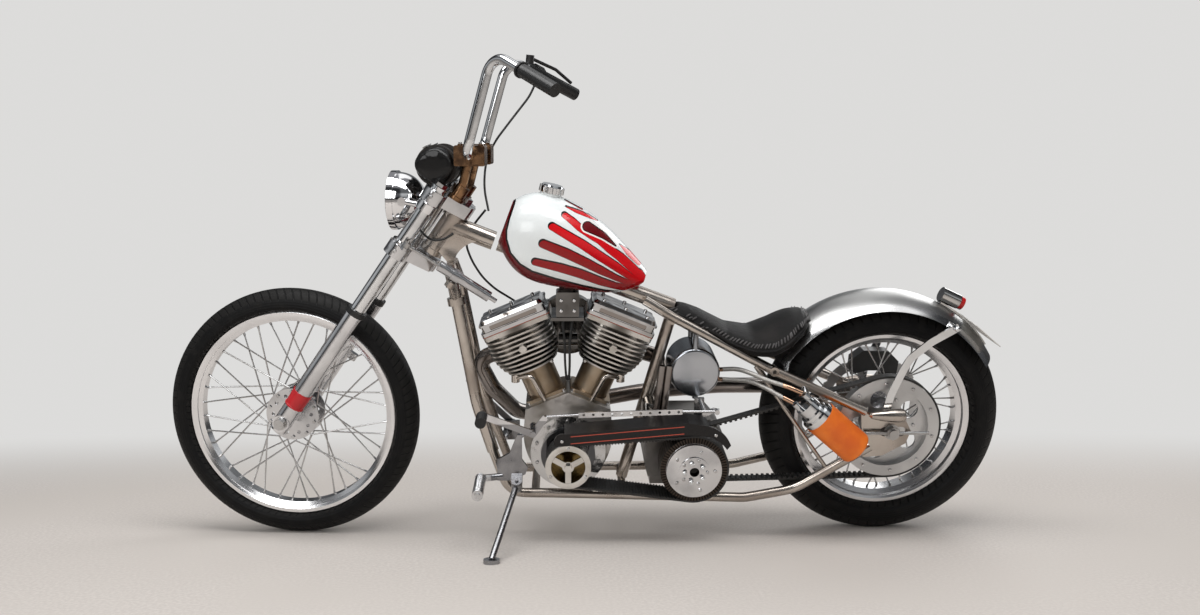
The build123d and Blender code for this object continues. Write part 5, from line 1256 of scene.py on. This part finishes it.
def beside_rim(pitch, off):
    """Places on the cushion a little above or below the crease, each with the ways out and along."""
    found = []
    for place, run in along(rim, pitch):
        lie, out, face, gap = cushion.find_nearest(PARK @ place)
        run = (PARK.to_3x3() @ run).normalized()
        above = run.cross(out)
        above = above if above.z > 0 else -above
        lie, out, face, gap = cushion.find_nearest(lie + above * off)
        found.append((lie, out, run, above))
    return found


stitch_rows = beside_rim(0.0098, 0.0095)
roll_row = beside_rim(0.012, -0.0065)
print("stitches:", len(stitch_rows), "points of the roll:", len(roll_row))

# %% [markdown]
# The crease is pressed into the finished cushion: each point near the rim moves in along its normal, and
# less the further it is from the rim. All normals are read first, because they change as points move.

# %% Seat crease
CREASE_REACH = 0.014
CREASE_DEEP = CREASE_WIDE = 0.0045
crease = KDTree(len(rim))
for i, place in enumerate(rim):
    crease.insert(PARK @ place, i)
crease.balance()
outward = [vertex.normal.copy() for vertex in seat.data.vertices]
pressed = 0
for vertex, out in zip(seat.data.vertices, outward):
    near = crease.find(vertex.co)[2]
    if near < CREASE_REACH:
        vertex.co -= out * CREASE_DEEP * math.exp(-(near / CREASE_WIDE) ** 2)
        pressed += 1
print("points pressed into the crease:", pressed)

# %% [markdown]
# The rolled edge is a smooth curve with a round section, turned into a mesh. The same helper makes the
# wires further on.

# %% Rolled edge
def tube(name, rows, radius, finish):
    """A smooth round cord along each row of points."""
    curve = bpy.data.curves.new(name, "CURVE")
    curve.dimensions = "3D"
    curve.bevel_depth = radius
    curve.bevel_resolution = 3
    curve.use_fill_caps = True
    for row in rows:
        spline = curve.splines.new("NURBS")
        spline.points.add(len(row) - 1)
        for point, place in zip(spline.points, row):
            point.co = (*place, 1)
        spline.order_u = 4
        spline.use_endpoint_u = True
    made = bpy.data.objects.new(name, curve)
    bpy.context.scene.collection.objects.link(made)
    select_only(made)
    bpy.ops.object.convert(target="MESH")
    made = bpy.context.object
    made.name = name
    made.data.materials.append(finish.material)
    bpy.ops.object.shade_smooth()
    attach(made, "chassis")
    print(name, "cords:", len(rows), "faces:", len(made.data.polygons))


roll = [lie - out * 0.0006 for lie, out, run, above in roll_row]
tube("seat_edge", [roll], 0.0042, seat_hide)

# %% [markdown]
# A stitch is a short thick thread, thin where it enters the leather and full in the middle. It is modelled
# once, and its copies lean across the cover one after another.

# %% Seat stitches
stitch = turned_piece("stitch", 6, 0.0008, 0.0010, [(0, 0.0010)])
bpy.ops.object.mode_set(mode="EDIT")
pick(stitch, lambda middle, normal: normal.z > 0.9)
bpy.ops.transform.resize(value=(2.4, 2.4, 1.0))
bpy.ops.mesh.extrude_region_move(TRANSFORM_OT_translate={"value": (0, 0, 0.0105)})
bpy.ops.mesh.extrude_region_move(TRANSFORM_OT_translate={"value": (0, 0, 0.0020)})
bpy.ops.transform.resize(value=(0.4, 0.4, 1.0))
bpy.ops.object.mode_set(mode="OBJECT")
masters.append(stitch)
stitches = []
for lie, out, run, above in stitch_rows:
    lean = (above * 0.9 + run * 0.5).normalized()
    stitches.append((lie + out * 0.0020 - lean * 0.0072, lean))
thread = painted("waxed_thread", (0.10, 0.095, 0.095), (0.055, 0.052, 0.052), 0.24, scale=2000.0)
set_out("seat_stitches", stitch, stitches, thread, "chassis", Matrix.Identity(4))

# %% [markdown]
# Two black wires hang from the top bracket to the crankcase between the cylinders. Each is held at both
# ends, and its points follow the slack that shows between them.

# %% Ignition wires
WIRES = [
    [(0.842, 0.030, 0.640), (0.840, 0.056, 0.600), (0.852, 0.066, 0.555), (0.846, 0.062, 0.500),
     (0.850, 0.050, 0.448)],
    [(0.864, 0.030, 0.640), (0.868, 0.050, 0.605), (0.858, 0.060, 0.560), (0.862, 0.056, 0.505),
     (0.856, 0.050, 0.448)],
]
wire_rows = [[PARK @ Vector(place) for place in row] for row in WIRES]
tube("ignition_wires", wire_rows, 0.0032, sheath)

# %% [markdown]
# The masters have done their work. Left in, they would count as pieces of the machine, so they are removed.

# %% Masters removed
for master in masters:
    bpy.data.objects.remove(master)
print("masters removed:", len(masters))

# %% [markdown]
# The floor is plain pale concrete. The wall behind it is only the world's colour, as the camera sees it,
# and far from the machine the floor fades into that colour, so every side of the machine has the same plain
# background.

# %% Floor and background
WALL = rgb(0.72, 0.715, 0.705)
bpy.ops.object.select_all(action="DESELECT")
bpy.ops.mesh.primitive_plane_add(size=30, location=(0, 0, 0))
floor = bpy.context.object
floor.name = "floor"
concrete = Finish("pale_concrete", Roughness=0.75)
x, y, z = concrete.split(concrete.place)
speckle = concrete.noise(120.0, 5.0)
stain = concrete.patches(1.6, 0.35, 0.7, 4.0)
grit = concrete.mix(concrete.step(speckle, 0.35, 0.7), (0.57, 0.525, 0.49), (0.65, 0.605, 0.565))
concrete.set("Base Color", concrete.mix(stain, grit, (0.60, 0.555, 0.515)))
concrete.bump(speckle, 0.0004)
away = (x * x * 0.17 + y * y).math("SQRT")
fade = concrete.step(away, 0.8, 2.3)
seen = concrete.node("ShaderNodeLightPath", out="Is Camera Ray")
glow = concrete.node("ShaderNodeEmission", {}, {0: WALL, 1: 1.0})
shown = concrete.node("ShaderNodeMixShader", {}, {
    0: fade * seen, 1: Wire(concrete, concrete.shader.outputs[0]), 2: glow})
output = concrete.tree.nodes["Material Output"]
concrete.tree.links.new(shown.socket, output.inputs["Surface"])
floor.data.materials.append(concrete.material)
print("floor finish has", len(concrete.tree.nodes), "nodes")

# %% [markdown]
# Chrome shows what is around it. The world is the plain wall's colour to the camera and an even soft light
# to everything matt, but metal sees a studio dome with a dark line at the horizon and bright panels above it,
# which draws the long bright and dark streaks that make chrome look like chrome.

# %% World
world = bpy.data.worlds.new("studio")
bpy.context.scene.world = world
world.use_nodes = True
studio = Tree(world.node_tree)
sky = studio.node("ShaderNodeTexCoord", out="Generated")
across, deep, high = studio.split(sky)
turn = deep.math("ARCTAN2", across)
panels = studio.step((turn * 3.0 + 0.9).math("SINE"), -0.25, 0.45)
grey = studio.node("ShaderNodeMapRange", {}, {0: high, 1: -1.0, 2: 1.0})
bands = studio.node("ShaderNodeValToRGB", {"stops": [
    (0.00, rgb(0.30, 0.29, 0.28)), (0.49, rgb(0.20, 0.20, 0.20)), (0.50, rgb(0.02, 0.02, 0.022)),
    (0.54, rgb(0.03, 0.03, 0.033)), (0.57, rgb(0.25, 0.26, 0.27)), (0.66, rgb(0.50, 0.51, 0.52)),
    (0.72, rgb(0.10, 0.105, 0.11)), (0.84, rgb(0.14, 0.145, 0.15)), (0.88, rgb(1.20, 1.20, 1.20)),
    (1.00, rgb(1.20, 1.20, 1.20))]}, {0: grey})
dim = studio.node("ShaderNodeMix", {"data_type": "RGBA", "blend_type": "MULTIPLY"},
                  {0: 1.0 - panels, 6: bands, 7: rgb(0.22, 0.22, 0.23)}, out=2)
rays = studio.node("ShaderNodeLightPath", out="Is Diffuse Ray")
soft = studio.mix(rays, dim, (0.42, 0.42, 0.42))
seen = studio.node("ShaderNodeLightPath", out="Is Camera Ray")
world_colour = studio.mix(seen, soft, WALL)
studio.tree.links.new(world_colour.socket, studio.tree.nodes["Background"].inputs[0])
print("world has", len(studio.tree.nodes), "nodes")

# %% [markdown]
# An even world alone would leave the forms flat. Three large soft lamps give them a lit side and a shaded
# one, without a hard shadow anywhere.

# %% Lamps
def soft_lamp(name, place, aim, size, power):
    light = bpy.data.lights.new(name, "AREA")
    light.shape = "RECTANGLE"
    light.size, light.size_y = size
    light.energy = power
    made = bpy.data.objects.new(name, light)
    made.location = place
    made.rotation_euler = (Vector(aim) - Vector(place)).to_track_quat("-Z", "Y").to_euler()
    bpy.context.scene.collection.objects.link(made)
    print(name, "watts:", power)


soft_lamp("overhead", (0.3, 0.9, 3.2), (0.0, 0.0, 0.3), (3.6, 1.4), 70)
soft_lamp("front_fill", (1.8, 3.2, 1.9), (0.0, 0.0, 0.5), (1.8, 1.8), 40)
soft_lamp("rear_fill", (-2.2, -2.2, 2.2), (0.0, 0.0, 0.5), (1.8, 1.8), 26)
